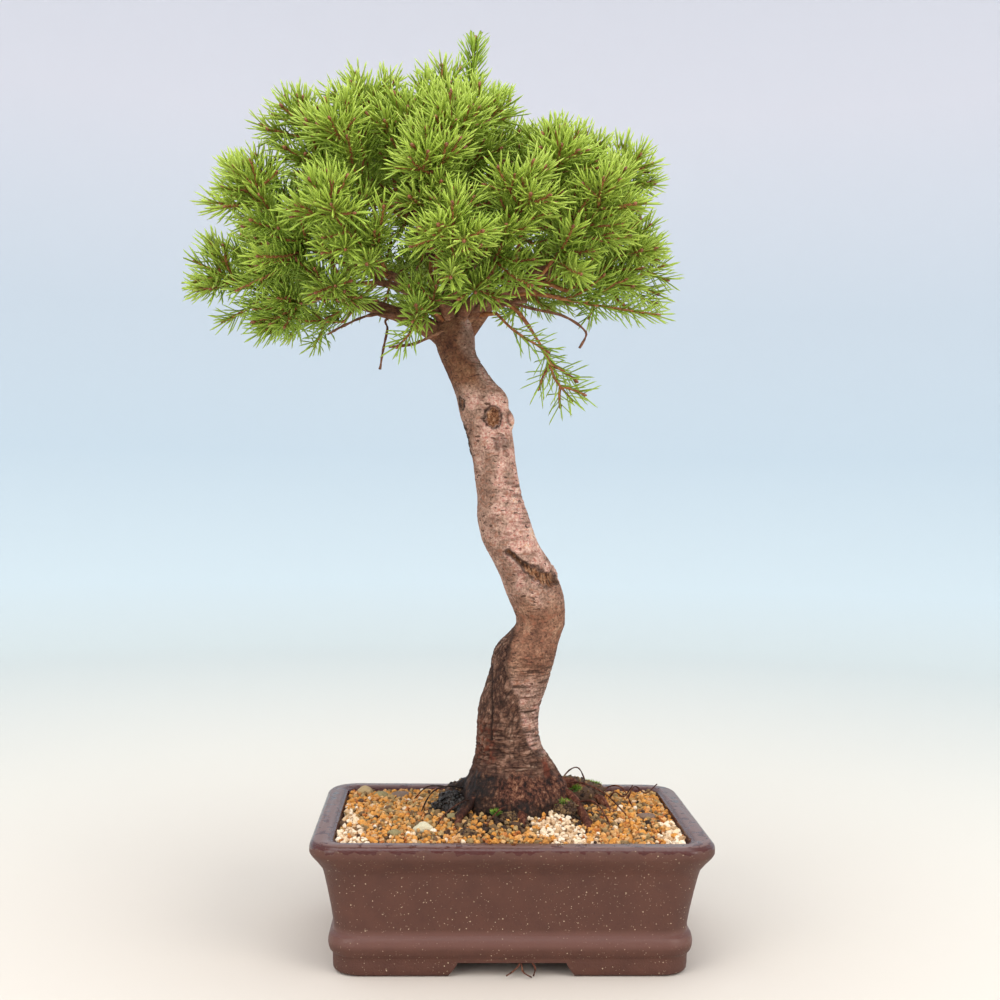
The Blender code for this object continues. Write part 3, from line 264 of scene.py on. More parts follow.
# Branchlets that hang or stand out in the photograph: how many side shoots each has, the points of its
# bare twig, and those that follow for its needled axis, which starts where the twig ends
FEATURE_BRANCHLETS = (
    ("leader", 2, ((-0.031, 0.004, 0.430), (-0.0308, 0.004, 0.4405)),
     ((-0.0282, 0.003, 0.4620), (-0.0245, 0.002, 0.5020))),
    ("beside_leader", 2, ((-0.0315, 0.004, 0.4080), (-0.0360, -0.003, 0.4230), (-0.0385, -0.006, 0.4340)),
     ((-0.0405, -0.008, 0.4580), (-0.0430, -0.009, 0.4830))),
    ("hanging_short", 0, ((-0.0200, 0.0, 0.3480), (-0.0110, -0.012, 0.3475)),
     ((-0.0010, -0.020, 0.3370), (0.0165, -0.024, 0.3260))),
    ("hanging_long", 1, ((-0.0120, 0.0, 0.3560), (-0.0010, -0.004, 0.3517), (0.0080, -0.004, 0.3410)),
     ((0.0180, -0.003, 0.3251), (0.0227, -0.002, 0.3129), (0.0319, 0.0, 0.3020))),
    ("low_right", 1, ((-0.0100, 0.002, 0.3590), (0.0100, -0.006, 0.3595), (0.0266, -0.012, 0.3561)),
     ((0.0458, -0.016, 0.3521), (0.0765, -0.020, 0.3475))),
    ("front_low_left", 2, ((-0.0850, -0.003, 0.3525), (-0.0930, -0.010, 0.3530), (-0.0985, -0.020, 0.3525)),
     ((-0.0980, -0.040, 0.3560), (-0.0955, -0.058, 0.3540))),
    ("front_low_centre", 2, ((-0.0370, 0.003, 0.3400), (-0.0415, -0.004, 0.3455), (-0.0460, -0.012, 0.3480)),
     ((-0.0520, -0.029, 0.3450), (-0.0560, -0.045, 0.3380))),
    ("front_centre", 2, ((-0.0310, 0.002, 0.3500), (-0.0265, -0.006, 0.3590), (-0.0240, -0.014, 0.3610)),
     ((-0.0235, -0.033, 0.3590), (-0.0235, -0.052, 0.3530))),
    ("left_low", 2, ((-0.1050, -0.005, 0.3570), (-0.1095, -0.008, 0.3540), (-0.1150, -0.012, 0.3510)),
     ((-0.1230, -0.018, 0.3465), (-0.1320, -0.024, 0.3380))),
    ("mid_right", 2, ((0.0200, 0.004, 0.3750), (0.0400, 0.010, 0.3690), (0.0520, 0.012, 0.3680)),
     ((0.0680, 0.014, 0.3730), (0.0850, 0.016, 0.3800))),
)
FEATURE_WHORL = 0.22

# Loose grains: the least, greatest and usual radius, and how far they are squashed along each axis. Late
# grains are smaller, all of them overlap a little where they touch, and none lies far above the soil. They
# may reach under the trunk's flare, and over the edge of a stone
GRAIN_TRIES = 34000
GRAIN_RADII = (0.0010, 0.0029, 0.0014)
GRAIN_LAST_SHARE = 0.72
GRAIN_CONTACT = 0.86
GRAIN_BED_REST = 0.55
GRAIN_HIGHEST = 0.0019
GRAIN_SIDE_SHARE = 0.8
GRAIN_TOP_SHARE = 0.5
GRAIN_LUMP_SHARE = 0.65
GRAIN_LUMP_COUNT = 1.4
UNDER_FLARE = 0.004
STONE_CLEAR_SHARE = 0.8
COARSE_GRAIN = 0.0015
GRAIN_CELL = 0.0052
SQUASH = ((0.9, 1.15), (0.85, 1.1), (0.7, 1.0))
GRAIN_SHADING_ANGLE = 28

# One draw says what a grain is: humus below the first values, in a pumice drift or elsewhere, with more by
# the trunk, and pumice below the last two
HUMUS_IN_DRIFT = 0.02
HUMUS_ELSEWHERE = 0.045
HUMUS_BY_TRUNK = 0.65
HUMUS_REACH = (0.030, 0.002)
PUMICE_IN_DRIFT = 0.86
PUMICE_ELSEWHERE = 0.11

# Stones and lumps of humus on the soil: place from the pot's centre, radius, flatness and kind
STONES = (
    (-0.083, 0.056, 0.0044, 0.80, "tan_stone"),
    (-0.072, 0.046, 0.0042, 0.72, "green_stone"),
    (-0.062, 0.046, 0.0055, 0.45, "brown_stone"),
    (-0.047, -0.033, 0.0044, 0.72, "cream_stone"),
    (-0.062, -0.041, 0.0033, 0.75, "green_stone"),
    (-0.031, -0.018, 0.0030, 0.75, "green_stone"),
    (0.077, -0.004, 0.0044, 0.60, "brown_stone"),
    (-0.024, -0.047, 0.0036, 0.70, "humus_crumbs"),
    (0.041, 0.026, 0.0150, 0.62, "humus_crumbs"),
    (0.034, 0.044, 0.0130, 0.66, "humus_crumbs"),
    (-0.030, -0.002, 0.0082, 0.85, "wet_humus"),
    (-0.035, 0.003, 0.0055, 0.60, "wet_humus"),
    (-0.026, 0.014, 0.0100, 0.80, "humus_crumbs"),
    (0.001, -0.024, 0.0055, 0.50, "humus_crumbs"),
    (0.031, -0.013, 0.0070, 0.75, "humus_crumbs"),
)
HUMUS_CRUMBS = 330
HUMUS_CRUMB_SIZES = (0.0005, 0.0016)
STONE_SINK = 0.25
STONE_STRETCH = 1.15

# Tufts of moss: place, radius and how many leaves, then the sizes of a leaf and the form of the cushion
MOSS_TUFTS = (
    ((0.047, 0.030, 0.0775), 0.0055, 330),
    ((0.038, 0.016, 0.0790), 0.0045, 260),
    ((0.053, 0.044, 0.0745), 0.0045, 240),
    ((0.030, -0.014, 0.0775), 0.0034, 150),
    ((-0.008, -0.025, 0.0750), 0.0022, 70),
)
MOSS_LEAF_WIDTH = 0.00028
MOSS_LEAF_LENGTHS = (0.0016, 0.0034)
MOSS_FLATNESS = 0.6
MOSS_CUSHION_SHARE = 0.85
MOSS_CUSHION_TONE = 0.15

# Fine roots that loop over the soil or hang below the pot's front, and how much thinner the other roots and
# the dead twigs are than the plain ones they cover
FINE_ROOTS = (
    ((0.030, 0.050, 0.066), (0.037, 0.057, 0.079), (0.046, 0.062, 0.082), (0.053, 0.060, 0.066)),
    ((0.036, 0.040, 0.067), (0.044, 0.044, 0.079), (0.052, 0.044, 0.075), (0.056, 0.042, 0.066)),
    ((0.050, 0.030, 0.070), (0.060, 0.026, 0.079), (0.068, 0.024, 0.078), (0.074, 0.020, 0.066)),
    ((0.030, 0.010, 0.084), (0.042, 0.008, 0.085), (0.055, 0.002, 0.080), (0.066, -0.004, 0.070)),
    ((0.034, -0.010, 0.078), (0.046, -0.016, 0.080), (0.052, -0.026, 0.074), (0.055, -0.034, 0.067)),
    ((-0.024, 0.006, 0.082), (-0.034, 0.002, 0.084), (-0.043, -0.002, 0.081), (-0.050, -0.006, 0.068)),
    ((-0.020, -0.014, 0.080), (-0.026, -0.022, 0.081), (-0.036, -0.028, 0.075), (-0.042, -0.034, 0.066)),
    ((0.000, -0.020, 0.078), (-0.006, -0.028, 0.078), (-0.014, -0.036, 0.071), (-0.018, -0.042, 0.066)),
    ((0.060, 0.036, 0.066), (0.064, 0.034, 0.074), (0.070, 0.036, 0.071), (0.075, 0.034, 0.078)),
    ((0.072, 0.040, 0.067), (0.077, 0.040, 0.076), (0.083, 0.036, 0.073), (0.090, 0.038, 0.078)),
    ((-0.030, 0.022, 0.078), (-0.038, 0.025, 0.0790), (-0.046, 0.029, 0.0775), (-0.053, 0.032, 0.070)),
    ((0.003, -0.058, 0.0115), (0.004, -0.062, 0.0070), (0.001, -0.064, 0.0040), (-0.003, -0.066, 0.0020)),
    ((0.004, -0.058, 0.0115), (0.005, -0.063, 0.0060), (0.006, -0.064, 0.0030), (0.010, -0.066, 0.0012)),
    ((0.009, -0.058, 0.0115), (0.010, -0.062, 0.0080), (0.012, -0.063, 0.0050), (0.011, -0.065, 0.0015)),
)
FINE_ROOT_RADIUS = 0.00050
ROOT_SHARE = 0.66
DEAD_TWIG_SHARE = 0.6

# Stage and light: each lamp is its name, place from the pot's centre, width, power and colour
STAGE_FLAT_RADIUS = 1.3
STAGE_CURVE = 0.9
STAGE_HEIGHT = 1.6
WORLD_STRENGTH = 0.85
LAMP_AIM = Vector((0.0, 0.0, 0.25))
LAMPS = (
    ("overhead_softbox", (-0.1, -0.25, 1.5), 1.6, 17.0, "#ffffff"),
    ("front_left_softbox", (-1.0, -1.1, 0.8), 1.0, 9.0, "#fffaf2"),
    ("front_right_softbox", (1.1, -1.0, 0.8), 1.0, 11.0, "#fffaf2"),
)

# Shoots and needles. Shares are of a shoot's length, and leans are in degrees from its way
AXIS_LENGTH = 0.058
AXIS_LARGEST_SHARE = 0.56
AXIS_SAG = 0.004
AXIS_WHORLS = (0.27, 0.60)
WHORL_LATERALS = (2, 3)
LATERAL_LENGTH = 0.029
LATERAL_LEAN = 50
LATERAL_TIP_LEAN = 36
LATERAL_STEPS = 4
LATERAL_TRIES = 8
CORE_CLEARANCE = 0.0042
SHOOT_RADIUS = 0.00085
SHOOT_TIP_RADIUS = 0.00065
GOLDEN_ANGLE = math.pi * (3.0 - math.sqrt(5.0))
NEEDLE_LENGTH = 0.0122
NEEDLE_WIDTH = 0.00114
NEEDLE_THICKNESS = 0.0008
NEEDLE_BEND = 0.0018
NEEDLE_LEAN = 51
NEEDLE_TIP_LEAN = 34
NEEDLE_LIFT = 0.20
NEEDLES_PER_METRE = 1360
FEWEST_NEEDLES = 12
UNEVEN_SIZES = (0.86, 1.08)
TINT_SPREAD = 0.45
# Crowding, lean, length and bare share of the shoots that differ
NEEDLE_HABITS = {
    "usual": (1.0, NEEDLE_LEAN, 1.0, 0.0),
    "leader": (1.9, 50, 1.12, 0.0),
    "hanging": (0.75, 54, 1.05, 0.35),
}
LEADER_TINT = -0.6
NEEDLE_SEED = 77
BUD_RADIUS = 0.00115
BUD_LENGTH = 0.0034
BUD_SINK = 0.0008
SIDE_BUD_SHARE = 0.75
# Forms of unit length: how many sides, the foot's radius, then the rise to each ring and its radius
NEEDLE_FORM = (3, 0.40, ((0.82, 0.50), (0.18, 0.04)))
BUD_FORM = (5, 0.55, ((0.30, 1.0), (0.42, 0.70), (0.28, 0.05)))

# Small shoots that only the finished crown has, in pairs: share of the axis and length, then those on
# side shoots, and those along the twigs
AXIS_PAIRS = ((0.08, 0.024), (0.42, 0.023), (0.74, 0.015))
LATERAL_PAIR = (0.40, 0.014)
TWIG_SHOOT_PITCH = 0.010
TWIG_SHOOT_LENGTH = 0.020
TWIG_SHOOT_DEPTH = 0.04
SMALL_SHOOT_HANG = 0.004
FILL_TRIES = 1700
FILL_FLOOR = 0.352
FILL_DEPTHS = (0.02, 0.75)
FILL_GAP = 0.012
FILL_REACH = (0.012, 0.052)
HANGING_PAIRS = ((0.50, 0.018), (0.80, 0.014))
SPARSE_BRANCHLETS = ("leader", "hanging_short", "hanging_long", "low_right")

# Features of the bark on the trunk's front, as X and Z
OLD_BARK_EDGE = (
    (0.0075, 0.1800), (0.0025, 0.1744), (-0.0017, 0.1567), (-0.0004, 0.1456),
    (0.0053, 0.1346), (0.0066, 0.1180), (0.0112, 0.1081), (0.0300, 0.0980),
)
WOUND_LINE = ((-0.0023, 0.2168), (0.0042, 0.2109), (0.0109, 0.2060), (0.0181, 0.2022), (0.0247, 0.1993))
BARK_CRACK = ((-0.0099, 0.1528), (-0.0102, 0.1345), (-0.0102, 0.1124))
GREY_PATCH = (-0.0073, 0.2765)
SCARS = (
    (Vector((-0.0114, -0.0092, 0.2908)), 0.0054, 1.18),
    (Vector((-0.0316, -0.0046, 0.2975)), 0.0043, 1.25),
)
RIGHT_KNOB = Vector((-0.0005, 0.0, 0.2905))
RIGHT_KNOB_RADIUS = 0.0052
UPPER_KNOB = Vector((-0.0070, 0.0, 0.3035))
UPPER_KNOB_RADIUS = 0.0070
TWIG_STUB = Vector((-0.0148, -0.0020, 0.1534))
TWIG_STUB_RADIUS = 0.0022
# Bends of the trunk where the bark is creased: height and spread
TRUNK_BENDS = ((0.236, 0.009), (0.252, 0.006), (0.318, 0.010))
BARK_FINISHES = ("old", "skirt", "red", "damp", "cut", "dark", "brown", "wrinkled")

# Camera: set where the photograph was taken from, in pixels of a square picture 1000 wide
PICTURE_WIDTH = 1000
CAMERA_FOCUS = 1349.8
CAMERA_PLACE = Vector((-0.0390, -0.7537, 0.2516))
CAMERA_YAW = math.radians(2.433)
CAMERA_PITCH = math.radians(0.509)
CAMERA_ROLL = math.radians(0.837)
SENSOR_WIDTH = 36.0


# Making meshes and materials


def deselect_all():
    for obj in bpy.context.selected_objects:
        obj.select_set(False)


def select_only(obj):
    deselect_all()
    obj.select_set(True)
    bpy.context.view_layer.objects.active = obj


def begin_edit():
    bpy.ops.object.mode_set(mode="EDIT")
    bpy.ops.mesh.select_all(action="SELECT")


def end_edit():
    """Leaves edit mode with every face turned outwards."""
    bpy.ops.mesh.select_all(action="SELECT")
    bpy.ops.mesh.normals_make_consistent(inside=False)
    bpy.ops.object.mode_set(mode="OBJECT")


def shade(obj, angle=None):
    """Shades an object smooth, but for edges sharper than the angle in degrees, if one is given."""
    select_only(obj)
    if angle is None:
        bpy.ops.object.shade_smooth()
    else:
        bpy.ops.object.shade_smooth_by_angle(angle=math.radians(angle))


def apply_modifier(obj, kind, **settings):
    select_only(obj)
    modifier = obj.modifiers.new(kind.lower(), kind)
    for name, value in settings.items():
        setattr(modifier, name, value)
    bpy.ops.object.modifier_apply(modifier=modifier.name)


def join_objects(objects, name):
    select_only(objects[0])
    for obj in objects[1:]:
        obj.select_set(True)
    if len(objects) > 1:
        bpy.ops.object.join()
    objects[0].name = name
    return objects[0]


def finish_piece(piece, slot, *replaced):
    """Places a piece measured from the pot's centre, and ties it to the frame."""
    piece.data.transform(Matrix.Translation(POT_CENTRE) @ piece.matrix_world)
    piece.matrix_world = Matrix.Identity(4)
    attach(piece, "root")
    if replaced:
        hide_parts(*replaced)


def places_of(mesh):
    flat = np.empty(len(mesh.vertices) * 3)
    mesh.vertices.foreach_get("co", flat)
    return flat.reshape(-1, 3)


def move_to_places(mesh, places):
    mesh.vertices.foreach_set("co", np.asarray(places, dtype=np.float32).ravel())
    mesh.update()


def write_attribute(mesh, name, values):
    """Writes a value for each point of a mesh, or one value for all its points."""
    layer = mesh.attributes.new(name, "FLOAT", "POINT")
    layer.data.foreach_set("value", np.full(len(layer.data), values, dtype=np.float32))


def linked_object(name, data):
    """A new object in the scene that holds this data."""
    obj = bpy.data.objects.new(name, data)
    bpy.context.scene.collection.objects.link(obj)
    return obj


def new_object(name, places, faces, material=None):
    mesh = bpy.data.meshes.new(name)
    mesh.from_pydata(places, [], faces)
    mesh.update()
    if material:
        mesh.materials.append(material)
    return linked_object(name, mesh)


def taken_apart(obj):
    """An object's places and faces, and the object removed."""
    places = places_of(obj.data)
    faces = np.array([list(polygon.vertices) for polygon in obj.data.polygons])
    bpy.data.objects.remove(obj, do_unlink=True)
    return places, faces


def smooth_between(low, high, value):
    """0 at the low value and 1 at the high one, which may be the smaller of the two, and smooth between."""
    share = min(max((value - low) / (high - low), 0.0), 1.0)
    return share * share * (3 - 2 * share)


def bell(distance, width, power=2):
    """1 at no distance, and falling to nothing past the width. A higher power gives it a flatter top."""
    return math.exp(-((distance / width) ** power))


def mix(low, high, share):
    return low + (high - low) * share


def srgb(hex_text):
    """The linear colour of an sRGB hex value."""
    channels = [int(hex_text[i:i + 2], 16) / 255 for i in (1, 3, 5)]
    linear = [c / 12.92 if c <= 0.04045 else ((c + 0.055) / 1.055) ** 2.4 for c in channels]
    return (*linear, 1.0)


def output_of(source):
    """What a node feeds others from, its first enabled output. Anything but a node is passed on as it is."""
    if isinstance(source, bpy.types.Node):
        return next(socket for socket in source.outputs if socket.enabled)
    return source


def add_node(tree, kind, inputs=None, stops=(), **settings):
    """Adds a node with its settings and the stops of its ramp. An input takes a value, a socket or a node."""
    node = tree.nodes.new(kind)
    for name, value in settings.items():
        setattr(node, name, value)
    for name, value in (inputs or {}).items():
        value = output_of(value)
        if isinstance(value, bpy.types.NodeSocket):
            tree.links.new(value, node.inputs[name])
        else:
            node.inputs[name].default_value = value
    for number, (place, hex_text) in enumerate(stops):
        elements = node.color_ramp.elements
        element = elements[number] if number < 2 else elements.new(place)
        element.position = place
        element.color = srgb(hex_text)
    return node


def new_material(name, **values):
    """A material with its tree and its shader, whose own sockets hold the values that don't vary."""
    material = bpy.data.materials.new(name)
    material.use_nodes = True
    tree = material.node_tree
    shader = tree.nodes["Principled BSDF"]
    for socket, value in values.items():
        shader.inputs[socket.replace("_", " ")].default_value = value
    return material, tree, shader


# Materials


def object_place(tree):
    """The place of a point on its object, in metres."""
    return add_node(tree, "ShaderNodeTexCoord").outputs["Object"]


def read_attribute(tree, name):
    return add_node(tree, "ShaderNodeAttribute", attribute_name=name)


def add_noise(tree, place, scale, detail, roughness=0.5):
    """Noise with a scale per metre. A scale of three numbers stretches it through a mapping."""
    if isinstance(scale, tuple):
        place = add_node(tree, "ShaderNodeMapping", {"Vector": place, "Scale": scale})
        scale = 1.0
    return add_node(tree, "ShaderNodeTexNoise", {
        "Vector": place, "Scale": scale, "Detail": detail, "Roughness": roughness,
    })


def add_ramp(tree, level, stops):
    return add_node(tree, "ShaderNodeValToRGB", {"Fac": level}, stops)


def add_range(tree, value, low, high, start=0.0, end=1.0):
    """Carries values between low and high over to those between start and end."""
    return add_node(tree, "ShaderNodeMapRange", {
        "Value": value, "From Min": low, "From Max": high, "To Min": start, "To Max": end,
    })


def add_math(tree, operation, *values):
    return add_node(tree, "ShaderNodeMath", dict(enumerate(values)), operation=operation)


def mix_values(tree, share, low, high):
    return add_node(tree, "ShaderNodeMix", {0: share, 2: low, 3: high})


def mix_colours(tree, share, low, high, **settings):
    """A colour between two others. The second may be an sRGB hex value."""
    if isinstance(high, str):
        high = srgb(high)
    inputs = {0: share, 6: low, 7: high}
    return add_node(tree, "ShaderNodeMix", inputs, data_type="RGBA", **settings).outputs[2]


def cover(tree, shader, colour, height=None, strength=1.0, depth=0.0, **settings):
    """Gives the shader its colour, and a bump by a height, with its strength and its depth in metres."""
    tree.links.new(output_of(colour), shader.inputs["Base Color"])
    if height is not None:
        inputs = {"Height": height, "Strength": strength, "Distance": depth}
        bump = add_node(tree, "ShaderNodeBump", inputs, **settings)
        tree.links.new(output_of(bump), shader.inputs["Normal"])


def needle_material():
    """Spruce needles: a thin matt wax over green, painted lighter and yellower where the light falls on the
    crown, with faint paler tips.
    """
    material, tree, shader = new_material("spruce_needle_wax", Roughness=0.55, IOR=1.42)
    # Whole shoots differ in hue, over some 35 mm
    patch = add_noise(tree, object_place(tree), 28.0, 1.0)
    # Painted light: the light attribute makes needles on the crown's outside and top lighter and yellower
    level = add_math(tree, "MULTIPLY_ADD", read_attribute(tree, "light"), 0.42, -0.02)
    level = add_math(tree, "MULTIPLY_ADD", read_attribute(tree, "tint"), 0.30, level)
    level = add_math(tree, "MULTIPLY_ADD", patch, 0.34, level)
    greens = add_ramp(tree, level, (
        (0.0, "#607b25"), (0.12, "#758f2e"), (0.32, "#96b23f"), (0.62, "#aec54b"), (1.0, "#bfce65"),
    ))
    end = add_range(tree, read_attribute(tree, "along"), 0.85, 1.0, 0.0, 0.12)
    cover(tree, shader, mix_colours(tree, end, greens, "#c9ca72"))
    return material


def shoot_material():
    """Young spruce bark: matt orange-brown skin in ridges below each needle."""
    material, tree, shader = new_material("young_spruce_bark", Roughness=0.78)
    grain = add_noise(tree, object_place(tree), 420.0, 4.0)
    colour = add_ramp(tree, grain, ((0.30, "#6e3d20"), (0.52, "#a06236"), (0.75, "#c98e58")))
    cover(tree, shader, colour, grain, 0.6, 0.0004)
    return material


def bud_material():
    """Winter buds: overlapping red-brown scales, a little resinous."""
    material, tree, shader = new_material("resinous_bud_scales", Roughness=0.45)
    scales = add_node(tree, "ShaderNodeTexVoronoi", {"Vector": object_place(tree), "Scale": 1400.0})
    colour = add_ramp(tree, scales, ((0.0, "#b97a4b"), (0.45, "#97593a"), (0.8, "#6b3923")))
    cover(tree, shader, colour, scales, 0.7, 0.0003, invert=True)
    return material


def thin_bark_colour(tree, place, finish, blotch, paper):
    """Pink skin with a papery grain, browner where the finish says so, with marks across it."""
    skin = add_ramp(tree, blotch, (
        (0.30, "#b08b78"), (0.44, "#caa693"), (0.56, "#dec0af"), (0.72, "#edd8cb"),
    ))
    brown = add_ramp(tree, blotch, ((0.30, "#653b27"), (0.50, "#935e40"), (0.72, "#bf8d69")))
    # The brown finish is browner bark low down and in patches, and painted shade on the left and below the
    # crown
    thin = mix_colours(tree, finish["brown"], skin, brown)
    grey = add_ramp(tree, paper, ((0.34, "#404040"), (0.66, "#c6c6c6")))
    thin = mix_colours(tree, 0.75, thin, grey, blend_type="OVERLAY")
    # Rust dashes, dark pores and short cracks, all longer across the trunk than up it
    for scale, low, high, most, hex_text in (
        ((300.0, 300.0, 560.0), 0.56, 0.66, 0.55, "#9a6048"),
        ((130.0, 130.0, 330.0), 0.60, 0.70, 0.60, "#6f4738"),
        ((250.0, 250.0, 640.0), 0.625, 0.665, 0.85, "#4a2e25"),
    ):
        mark = add_range(tree, add_noise(tree, place, scale, 2.0), low, high, 0.0, most)
        thin = mix_colours(tree, mark, thin, hex_text)
    # Creases, which run for 10 mm and more where the bark is wrinkled, painted dark as shade in them
    crease = add_range(tree, add_noise(tree, place, (90.0, 90.0, 1000.0), 3.0), 0.52, 0.62, 0.0, 0.8)
    return mix_colours(tree, add_math(tree, "MULTIPLY", crease, finish["wrinkled"]), thin, "#4a3024")


def old_bark_colour(tree, place, finish, blotch):
    """Upright scales 2 to 4 mm long of many browns: their tone, and their colour with dark cracks between."""
    upright = add_node(tree, "ShaderNodeMapping", {"Vector": place, "Scale": (450.0, 450.0, 250.0)})
    folds = add_noise(tree, place, (150.0, 150.0, 760.0), 6.0, 0.7)
    tone = mix_values(tree, finish["wrinkled"], add_noise(tree, upright, 1.0, 6.0, 0.72), folds)
    tone = add_math(tree, "ADD", tone, add_math(tree, "MULTIPLY_ADD", blotch, 0.5, -0.25))
    plates = add_ramp(tree, tone, (
        (0.28, "#1d120c"), (0.41, "#4a2f24"), (0.51, "#6c4b3b"), (0.61, "#926e5b"), (0.75, "#c4a690"),
    ))
    edges = add_node(
        tree, "ShaderNodeTexVoronoi", {"Vector": upright, "Scale": 0.6}, feature="DISTANCE_TO_EDGE"
    )
    gap = mix_values(tree, finish["wrinkled"], add_range(tree, edges, 0.06, 0.0, 0.0, 0.9), 0.0)
    return tone, mix_colours(tree, gap, plates, "#1d120d")


def bark_material():
    """Spruce bark: thin pink skin with a papery grain, rust dashes and dark pores, browner and wrinkled lower
    down, cracked plates on the old side, a fibrous dark foot, and cut wood in the scars."""
    material, tree, shader = new_material("spruce_bark")
    shader.inputs["Specular IOR Level"].default_value = 0.25
    place = object_place(tree)
    finish = {name: read_attribute(tree, name) for name in BARK_FINISHES}
    # Blotches some 9 mm wide lie under a grain of 1 mm
    blotch = add_noise(tree, place, 110.0, 5.0, 0.6)
    paper = add_noise(tree, place, 800.0, 4.0, 0.65)
    thin = thin_bark_colour(tree, place, finish, blotch, paper)
    tone, plates = old_bark_colour(tree, place, finish, blotch)
    # The foot: crumbling fibres, from near black to pale tan
    fibres = add_noise(tree, place, (480.0, 480.0, 400.0), 7.0, 0.78)
    clumps = add_math(tree, "ADD", fibres, add_math(tree, "MULTIPLY_ADD", blotch, 0.45, -0.225))
    foot = add_ramp(tree, clumps, (
        (0.38, "#0d0605"), (0.47, "#331b13"), (0.56, "#673d2c"), (0.65, "#946a51"), (0.78, "#d2b296"),
    ))
    wet = add_ramp(tree, clumps, (
        (0.40, "#0b0705"), (0.53, "#28170f"), (0.63, "#5a3c2b"), (0.75, "#ab8b70"),
    ))
    wood = add_ramp(tree, fibres, (
        (0.38, "#34190d"), (0.47, "#6d4127"), (0.56, "#96694a"), (0.68, "#c9a688"),
    ))
    bark = thin
    # The dark finish holds dark marks of the scars, wound and cracks, and painted shade in creases, along the
    # upper left edge and below the crown
    for name, colour in (
        ("old", plates), ("skirt", foot), ("red", "#6e3320"),
        ("cut", wood), ("dark", "#2a1a13"), ("damp", wet),
    ):
        bark = mix_colours(tree, finish[name], bark, colour)
    rough = add_range(tree, finish["damp"], 0.0, 1.0, 0.80, 0.55)
    tree.links.new(output_of(rough), shader.inputs["Roughness"])
    relief = mix_values(tree, finish["old"], paper, tone)
    relief = mix_values(tree, finish["skirt"], relief, fibres)
    cover(tree, shader, bark, relief, 1.0, 0.0009)
    return material


def pot_material():
    """Unglazed stoneware: dense red-brown clay with pale grit, a burnished rim whose flat top is painted grey
    as a reflection of the sky, a painted highlight on the roll, and wet runs below.
    """
    material, tree, shader = new_material("unglazed_stoneware")
    place = object_place(tree)
    height = add_node(tree, "ShaderNodeSeparateXYZ", {"Vector": place}).outputs["Z"]
    mottle = add_noise(tree, place, 70.0, 7.0, 0.7)
    clay = add_ramp(tree, mottle, ((0.30, "#4c281d"), (0.50, "#553024"), (0.70, "#5d3629")))
    # Grit: cells of 1 mm and 2 mm, some of which hold a pale grain up to 0.3 or 0.6 mm across
    for scale, least in ((540.0, 0.42), (1050.0, 0.50)):
        cells = add_node(tree, "ShaderNodeTexVoronoi", {"Vector": place, "Scale": scale})
        chance = add_node(tree, "ShaderNodeSeparateColor", {"Color": cells.outputs["Color"]}).outputs[0]
        size = add_range(tree, chance, least, 1.0, 0.0, 0.17)
        grain = add_math(tree, "LESS_THAN", cells.outputs["Distance"], size)
        clay = mix_colours(tree, grain, clay, "#d0b898")
    speck = add_range(tree, add_noise(tree, place, 1500.0, 1.0), 0.68, 0.74, 0.0, 0.6)
    clay = mix_colours(tree, speck, clay, "#2f1c17")
    # The roll above the foot is painted lighter along its upper side, a painted highlight where it faces the
    # sky, and it is glossier there
    roll_highlight = add_ramp(tree, add_math(tree, "MULTIPLY", height, 40.0), (
        (0.56, "#000000"), (0.68, "#e0e0e0"), (0.88, "#e0e0e0"), (0.98, "#000000"),
    ))
    clay = mix_colours(tree, roll_highlight, clay, "#694238")
    # The rim's flat top is painted grey, a painted reflection of the sky on its gloss, and water has run over
    # its edge in wavy patches
    rim = add_range(tree, height, 0.0693, 0.0699, 0.0, 0.8)
    clay = mix_colours(tree, rim, clay, "#7e625b")
    waves = add_noise(tree, place, 170.0, 3.0)
    run = add_range(tree, add_math(tree, "MULTIPLY_ADD", waves, 0.010, height), 0.0723, 0.0726)
    top = mix_values(tree, rim, 1.0, add_range(tree, waves, 0.55, 0.60))
    wet = add_math(tree, "MULTIPLY", run, top)
    clay = mix_colours(tree, wet, clay, "#4a1f18")
    gloss = add_range(tree, mottle, 0.3, 0.7, 0.50, 0.66)
    for share, roughness in ((roll_highlight, 0.40), (rim, 0.32), (wet, 0.20)):
        gloss = mix_values(tree, share, gloss, roughness)
    tree.links.new(output_of(gloss), shader.inputs["Roughness"])
    cover(tree, shader, clay, add_noise(tree, place, 900.0, 4.0), 0.5, 0.0004)
    return material


def grain_material(name, tones, roughness):
    """Loose grains: fired or sieved clay and pumice, dull and porous, each grain of its own tone."""
    material, tree, shader = new_material(name, Roughness=roughness)
    pits = add_noise(tree, object_place(tree), 1300.0, 4.0)
    level = add_math(tree, "MULTIPLY_ADD", pits, 0.30, -0.15)
    level = add_math(tree, "ADD", read_attribute(tree, "tint"), level)
    cover(tree, shader, add_ramp(tree, level, tones), pits, 0.8, 0.0004)
    return material


def moss_material():
    """Cushion moss: fresh green leaves, paler at their ends."""
    material, tree, shader = new_material("cushion_moss", Roughness=0.6)
    leaf = ((0.0, "#2c3d12"), (0.5, "#5f8a1f"), (1.0, "#a8c83e"))
    cover(tree, shader, add_ramp(tree, read_attribute(tree, "along"), leaf))
    return material


def mesh_material():
    """Polyethylene drainage mesh: moulded black plastic with a faint satin grain."""
    material, tree, shader = new_material("polyethylene_mesh", Roughness=0.45)
    grain = add_noise(tree, object_place(tree), 1600.0, 2.0)
    cover(tree, shader, add_ramp(tree, grain, ((0.3, "#161616"), (0.7, "#242424"))))
    return material


